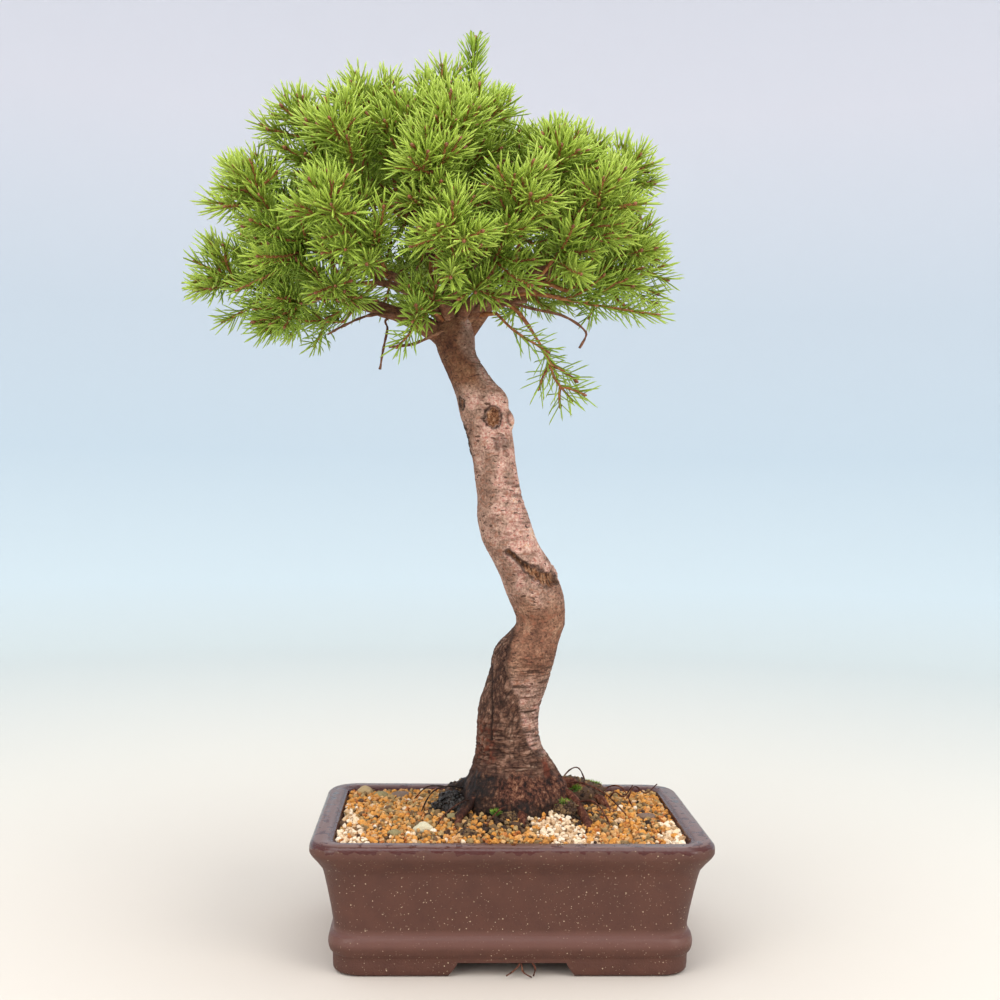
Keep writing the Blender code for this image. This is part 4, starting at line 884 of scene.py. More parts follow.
def backdrop_material():
    """Matt paper, warm and pale round the pot, pale blue further back, and lilac higher up."""
    material, tree, shader = new_material("studio_paper", Roughness=1.0)
    shader.inputs["Specular IOR Level"].default_value = 0.0
    place = object_place(tree)
    height = add_node(tree, "ShaderNodeSeparateXYZ", {"Vector": place}).outputs["Z"]
    away = add_node(tree, "ShaderNodeVectorMath", {0: place}, operation="LENGTH").outputs["Value"]
    level = add_math(tree, "MULTIPLY", add_math(tree, "MULTIPLY_ADD", away, 0.1, height), 0.77)
    cover(tree, shader, add_ramp(tree, level, (
        (0.0, "#d6cbc0"), (0.04, "#dcd8ce"), (0.11, "#e1e8e4"), (0.19, "#dfebed"),
        (0.40, "#d1dee5"), (0.65, "#d4dce3"), (1.0, "#e5e2e7"),
    )))
    return material


# Paths


def smooth_path(controls, steps):
    """A Catmull-Rom curve through the controls, with the same number of steps in each span."""
    points = [Vector(control) for control in controls]
    padded = [2 * points[0] - points[1], *points, 2 * points[-1] - points[-2]]
    path = []
    for a, b, c, d in zip(padded, padded[1:], padded[2:], padded[3:]):
        square = 2 * a - 5 * b + 4 * c - d
        cube = 3 * b - a - 3 * c + d
        for step in range(steps):
            t = step / steps
            path.append(0.5 * (2 * b + (c - a) * t + square * t**2 + cube * t**3))
    path.append(points[-1].copy())
    return path


def point_along(path, share):
    """The point at this share of the path's length."""
    lengths = [(b - a).length for a, b in zip(path, path[1:])]
    left = share * sum(lengths)
    for a, b, length in zip(path, path[1:], lengths):
        if left <= length:
            return a.lerp(b, left / length)
        left -= length
    return path[-1].copy()


def path_length(path):
    return sum((b - a).length for a, b in zip(path, path[1:]))


def carried_frames(points):
    """A tangent and two side vectors at each point, carried along the path without twist."""
    tangents = []
    for i in range(len(points)):
        before = points[max(i - 1, 0)]
        after = points[min(i + 1, len(points) - 1)]
        tangents.append((after - before).normalized())
    side = tangents[0].cross(Vector((0.0, 0.0, 1.0)))
    if side.length < 0.1:
        side = tangents[0].cross(Vector((0.0, 1.0, 0.0)))
    frames = []
    for tangent in tangents:
        side = (side - tangent * side.dot(tangent)).normalized()
        frames.append((tangent, side, tangent.cross(side)))
    return frames


# Pot


def rounded_block(name, profile, corner_radius):
    """A closed block with rounded upright corners, drawn up through pairs of inset and height."""
    deselect_all()
    first_inset, first_height = profile[0]
    bpy.ops.mesh.primitive_plane_add(size=1.0, location=(0.0, 0.0, first_height))
    block = bpy.context.object
    block.name = name
    block.scale = (POT_WIDTH - 2 * first_inset, POT_DEPTH - 2 * first_inset, 1.0)
    bpy.ops.object.transform_apply(location=True, rotation=True, scale=True)
    begin_edit()
    bpy.ops.mesh.bevel(affect="VERTICES", offset=corner_radius, segments=POT_CORNER_SEGMENTS)
    bpy.ops.mesh.select_all(action="SELECT")
    for (inset, height), (next_inset, next_height) in zip(profile, profile[1:]):
        rise = (0.0, 0.0, next_height - height)
        bpy.ops.mesh.extrude_region_move(TRANSFORM_OT_translate={"value": rise})
        growth = (
            (POT_WIDTH - 2 * next_inset) / (POT_WIDTH - 2 * inset),
            (POT_DEPTH - 2 * next_inset) / (POT_DEPTH - 2 * inset),
            1.0,
        )
        bpy.ops.transform.resize(value=growth, center_override=(0.0, 0.0, next_height))
    end_edit()
    return block


def eased(profile):
    """The profile with points between its own, on a smooth curve through them."""
    points = smooth_path([(inset, height, 0.0) for inset, height in profile], POT_PROFILE_STEPS)
    return [(max(point.x, 0.0), point.y) for point in points]


def foot_gap(name, top, bottom, length, turn):
    """A cutter with the S-curved ends of a foot gap: half its outline, mirrored, and drawn right through."""
    flare = (bottom - top) / 2
    half = [
        (0.0, -0.002), (bottom / 2, -0.002), (bottom / 2, 0.0006), (bottom / 2 - flare * 0.12, 0.0016),
        (top / 2 + flare * 0.60, 0.0032), (top / 2 + flare * 0.30, 0.0050), (top / 2 + flare * 0.10, 0.0064),
        (top / 2, FOOT_HEIGHT), (0.0, FOOT_HEIGHT),
    ]
    outline = [(x, -length / 2, z) for x, z in half] + [(-x, -length / 2, z) for x, z in reversed(half[1:-1])]
    cutter = new_object(name, outline, [tuple(range(len(outline)))])
    select_only(cutter)
    begin_edit()
    bpy.ops.mesh.extrude_region_move(TRANSFORM_OT_translate={"value": (0.0, length, 0.0)})
    end_edit()
    cutter.data.transform(Matrix.Rotation(turn, 4, "Z"))
    return cutter


def make_pot(material):
    """The pot's block, less its cavity, the foot gaps, the recess under it and two drainage holes."""
    pot = rounded_block("pot_body", eased(POT_OUTSIDE), POT_CORNER_RADIUS)
    cutters = [
        rounded_block("pot_cavity", eased(POT_CAVITY), CAVITY_CORNER_RADIUS),
        foot_gap("front_gap", FRONT_GAP_TOP, FRONT_GAP_BOTTOM, POT_DEPTH + CUT_MARGIN, 0.0),
        foot_gap("side_gap", SIDE_GAP_TOP, SIDE_GAP_BOTTOM, POT_WIDTH + CUT_MARGIN, math.pi / 2),
    ]
    deselect_all()
    bpy.ops.mesh.primitive_cube_add(size=1.0, location=(0.0, 0.0, 0.0))
    recess = bpy.context.object
    recess.scale = (POT_WIDTH - 2 * FOOT_RAIL, POT_DEPTH - 2 * FOOT_RAIL, 2 * FOOT_HEIGHT)
    cutters.append(recess)
    for x in (-DRAIN_HOLE_X, DRAIN_HOLE_X):
        deselect_all()
        middle = (x, 0.0, DRILL_HEIGHT)
        bpy.ops.mesh.primitive_cylinder_add(
            vertices=DRILL_SIDES, radius=DRAIN_HOLE_RADIUS, depth=DRILL_LENGTH, location=middle
        )
        cutters.append(bpy.context.object)
    for cutter in cutters:
        apply_modifier(pot, "BOOLEAN", operation="DIFFERENCE", solver="EXACT", object=cutter)
        bpy.data.objects.remove(cutter, do_unlink=True)
    edge_angle = math.radians(POT_EDGE_ANGLE)
    apply_modifier(
        pot, "BEVEL", width=POT_EDGE_ROUNDING, segments=2, limit_method="ANGLE", angle_limit=edge_angle
    )
    pot.data.materials.append(material)
    shade(pot, POT_SHADING_ANGLE)
    finish_piece(pot, "stoneware", "pot")


# Soil


def soil_height(x, y):
    """Level near the pot's wall and mounded round the trunk."""
    from_trunk = math.hypot(x - FLARE_X, y - FLARE_Y)
    return SOIL_EDGE_HEIGHT + SOIL_MOUND_HEIGHT * bell(from_trunk, SOIL_MOUND_RADIUS)


def soil_reach(y):
    """How far the soil goes to each side at this Y, inside the pot's rounded corners."""
    half_depth = POT_DEPTH / 2 - SOIL_INSET
    past = max(abs(y) - (half_depth - SOIL_CORNER_RADIUS), 0.0)
    corner = math.sqrt(max(SOIL_CORNER_RADIUS**2 - past**2, 0.0))
    return POT_WIDTH / 2 - SOIL_INSET - SOIL_CORNER_RADIUS + corner


def make_soil_bed(material):
    """The packed soil under the loose grains, down to the pot's floor."""
    width = POT_WIDTH - 2 * SOIL_INSET
    depth = POT_DEPTH - 2 * SOIL_INSET
    deselect_all()
    bpy.ops.mesh.primitive_grid_add(
        x_subdivisions=round(width / SOIL_BED_PITCH), y_subdivisions=round(depth / SOIL_BED_PITCH), size=1.0
    )
    bed = bpy.context.object
    bed.name = "soil_bed"
    places = places_of(bed.data)
    for place in places:
        y = place[1] * depth
        x = place[0] * 2 * soil_reach(y)
        crumb = noise.noise(Vector((x, y, 0.0)) / SOIL_CRUMB_PITCH)
        place[:] = (x, y, soil_height(x, y) - SOIL_BED_DROP + SOIL_CRUMB_DEPTH * crumb)
    move_to_places(bed.data, places)
    begin_edit()
    bpy.ops.mesh.region_to_loop()
    bpy.ops.mesh.extrude_edges_move(TRANSFORM_OT_translate={"value": (0.0, 0.0, -SOIL_SIDE_DROP)})
    bpy.ops.transform.resize(value=SOIL_FOOT_SHARES, center_override=(0.0, 0.0, SOIL_FOOT_HEIGHT))
    bpy.ops.mesh.extrude_edges_move(TRANSFORM_OT_translate={"value": (0.0, 0.0, -SOIL_FLOOR_DROP)})
    bpy.ops.mesh.edge_face_add()
    end_edit()
    tints = [SOIL_DRIFT_TINT if is_pumice(x, y) else SOIL_TINT for x, y, _ in places_of(bed.data)]
    write_attribute(bed.data, "tint", tints)
    bed.data.materials.append(material)
    finish_piece(bed, "soil", "soil")


def grain_template(subdivisions, seed):
    """One grain of unit radius: an icosphere pressed out of round, as places and faces."""
    deselect_all()
    bpy.ops.mesh.primitive_ico_sphere_add(subdivisions=subdivisions, radius=1.0, location=(0.0, 0.0, 0.0))
    places, faces = taken_apart(bpy.context.object)
    offset = Vector((seed * 7.3, 0.0, 0.0))
    lumps = np.array([noise.noise(Vector(place) * GRAIN_LUMP_COUNT + offset) for place in places])
    return places * (1 + GRAIN_LUMP_SHARE * lumps)[:, None], faces


def copies_of(template, frames, scales, offsets):
    """Places and faces of many copies: each is scaled along its own axes, turned and moved."""
    places, faces = template
    scaled = places[None, :, :] * scales[:, None, :]
    turned = np.einsum("nij,nvj->nvi", frames, scaled) + offsets[:, None, :]
    starts = np.arange(len(offsets)) * len(places)
    return turned.reshape(-1, 3), (faces[None, :, :] + starts[:, None, None]).reshape(-1, faces.shape[1])


def random_turn(draw):
    axis = Vector((draw.gauss(0, 1), draw.gauss(0, 1), draw.gauss(0, 1)))
    return np.array(Matrix.Rotation(draw.uniform(0.0, 2 * math.pi), 3, axis))


def is_pumice(x, y):
    """White pumice was poured in three drifts that run from the front towards the back."""
    wave = 0.005 * noise.noise(Vector((x, y, 0.0)) / 0.012)
    back = (y + 0.070) / 0.100
    left = x < mix(-0.071, -0.092, back) + wave and y < 0.040 + 2 * wave
    mid_wave = wave + 0.004 * noise.noise(Vector((x, y, 9.0)) / 0.004)
    middle = mix(0.0185, 0.000, back) + mid_wave < x < mix(0.0460, 0.0210, back) + mid_wave and y < 0.030
    right = x > mix(0.074, 0.090, back * 1.5) + wave and y < -0.010 + 2 * wave
    return left or middle or right


def trunk_reach(x, y):
    """How far a place on the soil is from the trunk's flare."""
    return math.hypot(x - FLARE_X, y - FLARE_Y) - FLARE_RADIUS


def resting_height(x, y, radius, heap, column, row):
    """How high a grain comes to rest at this place, on the bed or on the grains in the cells round it."""
    height = soil_height(x, y) - SOIL_BED_DROP + radius * GRAIN_BED_REST
    for i in (column - 1, column, column + 1):
        for j in (row - 1, row, row + 1):
            for a, b, c, other in heap.get((i, j), ()):
                apart = (x - a) ** 2 + (y - b) ** 2
                touch = (GRAIN_CONTACT * (radius + other)) ** 2
                if apart < touch:
                    height = max(height, c + math.sqrt(touch - apart))
    return height


def drop_grains(draw, obstacles):
    """Grains poured on the bed: each comes to rest on the bed or on those that lie there already."""
    heap = {}
    grains = []
    half_depth = POT_DEPTH / 2 - SOIL_INSET
    for attempt in range(GRAIN_TRIES):
        y = draw.uniform(-half_depth, half_depth)
        reach = soil_reach(y)
        x = draw.uniform(-reach, reach)
        radius = draw.triangular(*GRAIN_RADII) * mix(1.0, GRAIN_LAST_SHARE, attempt / GRAIN_TRIES)
        if abs(y) > half_depth - radius or abs(x) > reach - radius * GRAIN_SIDE_SHARE:
            continue
        if trunk_reach(x, y) < -UNDER_FLARE or any(math.hypot(x - a, y - b) < c for a, b, c in obstacles):
            continue
        column, row = math.floor(x / GRAIN_CELL), math.floor(y / GRAIN_CELL)
        height = resting_height(x, y, radius, heap, column, row)
        if height + radius * GRAIN_TOP_SHARE > soil_height(x, y) + GRAIN_HIGHEST:
            continue
        heap.setdefault((column, row), []).append((x, y, height, radius))
        grains.append((x, y, height, radius, is_pumice(x, y)))
    return grains


def sorted_grains(draw):
    """Every loose grain under the name of its kind. Humus crumbs lie thickest by the trunk."""
    obstacles = [(x, y, radius * STONE_CLEAR_SHARE) for x, y, radius, _, _ in STONES]
    kinds = {"akadama_grains": [], "pumice_grains": [], "humus_crumbs": []}
    for grain in drop_grains(draw, obstacles):
        x, y, _, _, in_drift = grain
        uneven = 0.008 * noise.noise(Vector((x, y, 0.0)) / 0.010)
        by_trunk = smooth_between(*HUMUS_REACH, trunk_reach(x, y) + uneven)
        chance = draw.random()
        if chance < (HUMUS_IN_DRIFT if in_drift else HUMUS_ELSEWHERE + HUMUS_BY_TRUNK * by_trunk):
            kinds["humus_crumbs"].append(grain)
        elif chance < (PUMICE_IN_DRIFT if in_drift else PUMICE_ELSEWHERE):
            kinds["pumice_grains"].append(grain)
        else:
            kinds["akadama_grains"].append(grain)
    return kinds


def make_grains(materials):
    """Three pieces: fired clay grains, pumice grains and dark humus crumbs."""
    draw = random.Random(SOIL_SEED)
    kinds = sorted_grains(draw)
    # Each size of grain has its own templates, finer for the larger grains
    sizes = [
        (COARSE_GRAIN, 1.0, [grain_template(2, seed) for seed in range(5)]),
        (0.0, COARSE_GRAIN, [grain_template(1, seed) for seed in range(4)]),
    ]
    for name, members in kinds.items():
        parts = []
        for least, most, templates in sizes:
            sized = [grain for grain in members if least <= grain[3] < most]
            for number, template in enumerate(templates):
                chosen = sized[number::len(templates)]
                if not chosen:
                    continue
                scales = np.array([
                    [grain[3] * draw.uniform(*squash) for squash in SQUASH] for grain in chosen
                ])
                turns = np.array([random_turn(draw) for _ in chosen])
                places, faces = copies_of(template, turns, scales, np.array([grain[:3] for grain in chosen]))
                part = new_object(f"{name}_{len(parts)}", places.tolist(), faces.tolist(), materials[name])
                tints = [draw.random() for _ in chosen]
                write_attribute(part.data, "tint", np.repeat(tints, len(template[0])))
                parts.append(part)
        piece = join_objects(parts, name)
        shade(piece, GRAIN_SHADING_ANGLE)
        finish_piece(piece, "soil")


def crumbs_on(places, draw, template, material):
    """Humus crumbs scattered over these places, as one mesh."""
    feet = places[draw.sample(range(len(places)), HUMUS_CRUMBS)]
    scales = np.array([[draw.uniform(*HUMUS_CRUMB_SIZES) for _ in range(3)] for _ in feet])
    turns = np.array([random_turn(draw) for _ in feet])
    crumbs, faces = copies_of(template, turns, scales, feet)
    crumbs = new_object("crumbs", crumbs.tolist(), faces.tolist(), material)
    write_attribute(crumbs.data, "tint", np.repeat([draw.random() for _ in feet], len(template[0])))
    return crumbs


def make_stones(materials):
    """A few larger stones on the soil, and lumps of humus with crumbs all over them."""
    draw = random.Random(SOIL_SEED + 2)
    crumb = grain_template(1, 2)
    for number, (x, y, radius, flatness, kind) in enumerate(STONES):
        deselect_all()
        bpy.ops.mesh.primitive_ico_sphere_add(subdivisions=4, radius=1.0, location=(0.0, 0.0, 0.0))
        stone = bpy.context.object
        stone.name = f"stone_{number + 1}"
        humus = "humus" in kind
        middle = np.array((x, y, soil_height(x, y) + radius * flatness * STONE_SINK))
        places = places_of(stone.data)
        for point in places:
            way = Vector(point)
            lump = noise.noise(way * 0.9 + Vector((number * 5.1, 2.0, 0.0)))
            rough = noise.fractal(way * 3.0 + Vector((0.0, number * 3.7, 0.0)), 0.8, 2.0, 4)
            reach = radius * (1 + 0.35 * lump + (0.16 if humus else 0.05) * rough)
            point[:] = middle + point * reach * (STONE_STRETCH, 1.0, flatness)
        move_to_places(stone.data, places)
        write_attribute(stone.data, "tint", 0.5)
        stone.data.materials.append(materials[kind])
        shade(stone)
        if humus:
            crumbs = crumbs_on(places, draw, crumb, materials[kind])
            stone = join_objects([stone, crumbs], stone.name)
        finish_piece(stone, "soil")


def make_moss(material):
    """Tufts of moss: a small cushion set all over with pointed leaves."""
    draw = random.Random(SOIL_SEED + 1)
    deselect_all()
    bpy.ops.mesh.primitive_cone_add(vertices=3, radius1=1.0, radius2=0.0, depth=1.0, location=(0.0, 0.0, 0.5))
    bpy.ops.object.transform_apply(location=True, rotation=True, scale=True)
    template, triangles = taken_apart(bpy.context.object)
    for number, (centre, radius, leaves) in enumerate(MOSS_TUFTS):
        places, faces, along = [], [], []
        ground = Vector(centre)
        for _ in range(leaves):
            spread = Vector((draw.gauss(0, 1), draw.gauss(0, 1), abs(draw.gauss(0, 1)) + 0.15)).normalized()
            flat = Vector((spread.x, spread.y, spread.z * MOSS_FLATNESS))
            root = ground + flat * radius * draw.uniform(0.55, 0.9)
            way = (spread + Vector((draw.gauss(0, 0.35), draw.gauss(0, 0.35), 0.25))).normalized()
            size = np.array((MOSS_LEAF_WIDTH, MOSS_LEAF_WIDTH, draw.uniform(*MOSS_LEAF_LENGTHS)))
            turn = np.array(way.to_track_quat("Z", "Y").to_matrix())
            start = len(places)
            for point in template:
                places.append(tuple(np.array(root) + turn @ (point * size)))
                along.append(point[2])
            faces.extend([[start + i for i in triangle] for triangle in triangles])
        leaves_mesh = new_object(f"moss_leaves_{number}", places, faces, material)
        write_attribute(leaves_mesh.data, "along", along)
        deselect_all()
        reach = radius * MOSS_CUSHION_SHARE
        bpy.ops.mesh.primitive_ico_sphere_add(subdivisions=3, radius=reach, location=tuple(ground))
        cushion = bpy.context.object
        cushion.scale = (1.0, 1.0, MOSS_FLATNESS)
        bpy.ops.object.transform_apply(location=True, rotation=True, scale=True)
        write_attribute(cushion.data, "along", MOSS_CUSHION_TONE)
        cushion.data.materials.append(material)
        finish_piece(join_objects([leaves_mesh, cushion], f"moss_tuft_{number + 1}"), "soil")


# Trunk and roots


def station_at(height):
    """The trunk's centre and half width at a height, between its stations."""
    for low, high in zip(TRUNK_STATIONS, TRUNK_STATIONS[1:]):
        if height <= high[0]:
            share = (height - low[0]) / (high[0] - low[0])
            return [mix(a, b, share) for a, b in zip(low[1:], high[1:])]
    return list(TRUNK_STATIONS[-1][1:])


def trunk_rows():
    """The trunk's own stations and those between them, on a smooth curve: height, X, Y and half width."""
    rows = []
    for column in (1, 2, 3):
        stations = [(station[0], station[column], 0.0) for station in TRUNK_STATIONS]
        points = smooth_path(stations, TRUNK_ROW_STEPS)
        rows.append([point.y for point in points])
        heights = [point.x for point in points]
    return list(zip(heights, *rows))


def along_line(line, x, z):
    """The least distance from a place on the trunk's front to a line, and the share along it."""
    best = (1.0, 0.0)
    spans = len(line) - 1
    for number, ((x0, z0), (x1, z1)) in enumerate(zip(line, line[1:])):
        across, up = x1 - x0, z1 - z0
        share = min(max(((x - x0) * across + (z - z0) * up) / (across**2 + up**2), 0.0), 1.0)
        away = math.hypot(x - x0 - across * share, z - z0 - up * share)
        if away < best[0]:
            best = (away, (number + share) / spans)
    return best


def old_bark_edge(z):
    """Where the old bark ends on the trunk's front at this height."""
    for (x0, z0), (x1, z1) in zip(OLD_BARK_EDGE, OLD_BARK_EDGE[1:]):
        if z >= z1:
            return mix(x0, x1, min(max((z0 - z) / (z0 - z1), 0.0), 1.0))
    return OLD_BARK_EDGE[-1][0]


def scar_relief(point, scar, bark):
    """A pruning scar: a callus of new bark with a dark ragged lip, round split wood a little deeper."""
    centre, radius, stretch = scar
    offset = point - centre
    offset.z /= stretch
    away = offset.length / radius * (1 + 0.22 * noise.noise(point / 0.0018))
    if away > 2.2:
        return 0.0
    inside = smooth_between(0.90, 0.78, away)
    ray = noise.noise(offset.normalized() * 2.6)
    split = smooth_between(0.07, 0.02, abs(ray)) * inside * smooth_between(0.1, 0.5, away)
    bark["cut"] = max(bark["cut"], inside)
    bark["dark"] = max(bark["dark"], bell(away - 0.97, 0.11), 0.8 * split)
    return 0.0009 * bell(away - 1.22, 0.24) - 0.0007 * inside - 0.0003 * split


def flake_at(point):
    """Noise in flakes some 4 mm high."""
    return noise.fractal(Vector((point.x / 0.003, point.y / 0.003, point.z / 0.005)), 0.9, 2.1, 4)


def old_bark_relief(spot, bark):
    """Plates on the left and behind up to the first bend, and a fibrous skirt round the foot: the relief,
    and how far the place is plated."""
    point, way, front, drift, ragged = spot
    x, y, z = point
    past_edge = old_bark_edge(z) - x + max(way.y, 0.0) * 0.030 + 0.0014 * drift + 0.0006 * ragged
    below = smooth_between(0.1800, 0.1735, z + 0.002 * drift)
    plated = smooth_between(-0.0010, 0.0014, past_edge) * below
    skirt = smooth_between(0.101, 0.090, z + 0.005 * drift)
    bark["old"] = max(plated, skirt)
    bark["skirt"] = skirt
    distances, _ = noise.voronoi(Vector((x + 0.0005 * ragged, y, z * 0.42)) / 0.0027)
    crack = smooth_between(0.16, 0.02, distances[1] - distances[0])
    relief = plated * (1 - skirt) * (0.00045 - 0.0008 * crack + 0.0004 * flake_at(point))
    relief += skirt * 0.0013 * noise.fractal(Vector((way.x * 5, way.y * 5, z / 0.009)), 0.8, 2.1, 5)
    # The old bark ends above in a raised edge with a dark line under it
    edge = bell(past_edge, 0.0009) * below * front * smooth_between(0.140, 0.152, z)
    bark["dark"] = max(0.8 * crack * plated * (1 - skirt), 0.8 * edge)
    return relief + 0.0008 * edge, plated


def crease_relief(spot, plated, bark):
    """Creases across the lower trunk, and where the upper trunk bends, with painted shade in their folds, and
    painted shade high on the trunk below the crown.
    """
    point, way, _, drift, ragged = spot
    z = point.z
    bent = sum(
        bell(z - height, spread) * smooth_between(0.25, 0.9, way.x - 0.2 * way.y)
        for height, spread in TRUNK_BENDS
    )
    low = smooth_between(0.168, 0.148, z + 0.004 * drift)
    low *= 1 - 0.85 * plated * smooth_between(0.112, 0.128, z)
    bark["wrinkled"] = max(low * smooth_between(0.090, 0.098, z + 0.003 * ragged), min(bent, 1.0))
    crease = noise.noise(Vector((way.x * 1.1, way.y * 1.1, (z + 0.0006 * drift) / 0.00125)))
    fold = smooth_between(0.08, 0.42, crease) * bark["wrinkled"]
    # Painted shade: dark in the folds of the creases, and darker high on the trunk below the crown
    bark["dark"] = max(bark["dark"], 0.65 * fold, 0.38 * smooth_between(0.300, 0.318, z))
    return -0.00045 * fold - 0.0004 * fold * smooth_between(0.118, 0.108, z)


def thin_bark_relief(spot, bark):
    """Thin bark has soft lumps and a fine skin, browner low down, and painted browner on the left and below
    the crown as shade.
    """
    point, way, _, _, ragged = spot
    z = point.z
    patch = noise.noise(point / 0.011)
    bark["brown"] = max(
        mix(0.30, 0.85, smooth_between(0.135, 0.155, z)) * smooth_between(0.212, 0.180, z + 0.010 * patch),
        # Painted shade: browner at the top of the trunk below the crown, less on its right, and browner on
        # the left side
        smooth_between(0.296, 0.313, z) * smooth_between(0.95, 0.10, way.x + 0.4 * patch),
        0.55 * smooth_between(0.3, -0.9, way.x + 0.5 * patch),
        0.3 * smooth_between(0.1, 0.5, patch),
    )
    lumps = noise.noise(Vector((way.x * 1.5, way.y * 1.5, z / 0.016)))
    return (1 - bark["old"]) * (0.0005 * lumps + 0.00022 * ragged)


def colour_flare(spot, bark):
    """Red bark on the flare's left and in a streak on its right, and damp bark on its left and foot."""
    point, way, front, drift, ragged = spot
    x, _, z = point
    streak = smooth_between(0.0020, 0.0008, abs(x - 0.0200 - 0.25 * (0.0975 - z)) + 0.0006 * drift)
    streak *= smooth_between(0.091, 0.094, z) * smooth_between(0.104, 0.100, z)
    left = smooth_between(-0.35, -0.60, way.x) * smooth_between(-0.1, 0.2, ragged)
    left *= smooth_between(0.098, 0.103, z) * smooth_between(0.128, 0.116, z)
    bark["red"] = 0.75 * front * max(streak, left)
    bark["damp"] = max(
        0.85 * smooth_between(0.083, 0.077, z + 0.005 * ragged),
        0.9 * smooth_between(-0.25, -0.55, way.x) * smooth_between(0.099, 0.090, z + 0.004 * drift),
    )


def wound_relief(spot, bark):
    """The long wound across the front, with ragged dark lips round split wood."""
    point, _, front, drift, ragged = spot
    x, _, z = point
    away, share = along_line(WOUND_LINE, x, z)
    half = mix(0.0013, 0.0039, smooth_between(0.25, 0.65, share)) * smooth_between(1.03, 0.90, share)
    half *= 1 + 0.6 * ragged + 0.3 * drift
    inside = smooth_between(half, half * 0.6, away) * front
    lips = bell(away - half * 1.5, 0.0011) * front
    edge = bell(away - half, 0.0006) * front
    splits = smooth_between(0.0, 0.3, noise.noise(Vector(((x + 0.4 * z) / 0.0010, 0.0, z / 0.0032))))
    bark["cut"] = max(bark["cut"], inside)
    bark["dark"] = max(bark["dark"], 0.9 * edge, 0.85 * inside * splits)
    return 0.0012 * lips - 0.0014 * inside


def crack_relief(spot, bark):
    """The upright crack in the old bark, and a rough grey patch below the round scar."""
    point, _, front, drift, ragged = spot
    x, _, z = point
    away, _ = along_line(BARK_CRACK, x + 0.0006 * drift, z)
    opening = smooth_between(0.0010, 0.0003, away) * front
    flake = flake_at(point)
    rough = math.hypot(x - GREY_PATCH[0], (z - GREY_PATCH[1]) * 1.2) + 0.0028 * ragged
    rough = smooth_between(0.0060, 0.0040, rough) * mix(0.6, 1.0, smooth_between(-0.2, 0.3, flake))
    bark["dark"] = max(bark["dark"], opening, 0.62 * front * rough)
    return front * rough * 0.0005 * flake - 0.0012 * opening


def knob_relief(spot, bark):
    """Rough flakes along the upper trunk's left edge with painted shade on them, the round scars, two knobs
    and the stub of a twig.
    """
    point, way, _, drift, ragged = spot
    z = point.z
    # Painted shade: a patchy dark band along the upper trunk's left edge, over flakes in relief
    rim = smooth_between(-0.84, -0.97, way.x) * smooth_between(0.267, 0.271, z)
    rim *= smooth_between(0.289, 0.285, z)
    relief = 0.0006 * rim * smooth_between(-0.1, 0.3, ragged)
    relief += sum(scar_relief(point, scar, bark) for scar in SCARS)
    knob = (point - RIGHT_KNOB).length / RIGHT_KNOB_RADIUS * (1 + 0.15 * ragged)
    ring = bell(knob - 0.95, 0.10)
    stub = bell((point - TWIG_STUB).length, TWIG_STUB_RADIUS, 4)
    bark["dark"] = max(
        bark["dark"], rim * smooth_between(-0.3, 0.1, ragged), 0.7 * ring * smooth_between(-0.1, 0.3, drift),
        0.6 * stub,
    )
    upper = bell((point - UPPER_KNOB).length, UPPER_KNOB_RADIUS, 4)
    return relief + 0.0026 * bell(knob, 1.0, 4) + 0.0012 * upper + 0.0030 * stub


def bark_at(point, way):
    """The relief of the bark at a place on the trunk, and how much of each finish it has."""
    bark = dict.fromkeys(BARK_FINISHES, 0.0)
    front = smooth_between(0.35, -0.15, way.y)
    spot = (point, way, front, noise.noise(point / 0.006), noise.noise(point / 0.0022))
    relief, plated = old_bark_relief(spot, bark)
    relief += crease_relief(spot, plated, bark) + thin_bark_relief(spot, bark)
    colour_flare(spot, bark)
    if front > 0.0:
        relief += wound_relief(spot, bark) + crack_relief(spot, bark)
    return relief + knob_relief(spot, bark), bark


def root_lobes(way, z):
    """The flare reaches out towards each surface root."""
    fall = smooth_between(0.100, 0.074, z)
    reach = 0.0
    for _, _, controls in SURFACE_ROOTS:
        toward = Vector((controls[1][0] - FLARE_X, controls[1][1] - FLARE_Y)).normalized()
        turned = math.acos(min(max(toward.dot(Vector((way.x, way.y))), -1.0), 1.0))
        reach = max(reach, bell(turned, 0.34))
    return 0.0022 * fall * (reach - 0.35)


def plain_trunk():
    """The trunk without its bark, drawn up ring by ring and made finer."""
    rows = trunk_rows()
    height, x, y, radius = rows[0]
    deselect_all()
    bpy.ops.mesh.primitive_circle_add(
        vertices=TRUNK_SIDES, radius=radius, fill_type="NGON", location=(x, y, height)
    )
    trunk = bpy.context.object
    trunk.name = "trunk"
    bpy.ops.object.transform_apply(location=True, rotation=True, scale=True)
    begin_edit()
    for before, after in zip(rows, rows[1:]):
        rise = (after[1] - before[1], after[2] - before[2], after[0] - before[0])
        bpy.ops.mesh.extrude_region_move(TRANSFORM_OT_translate={"value": rise})
        growth = after[3] / before[3]
        middle = (after[1], after[2], after[0])
        bpy.ops.transform.resize(value=(growth, growth, 1.0), center_override=middle)
    end_edit()
    apply_modifier(trunk, "SUBSURF", levels=2, render_levels=2)
    return trunk


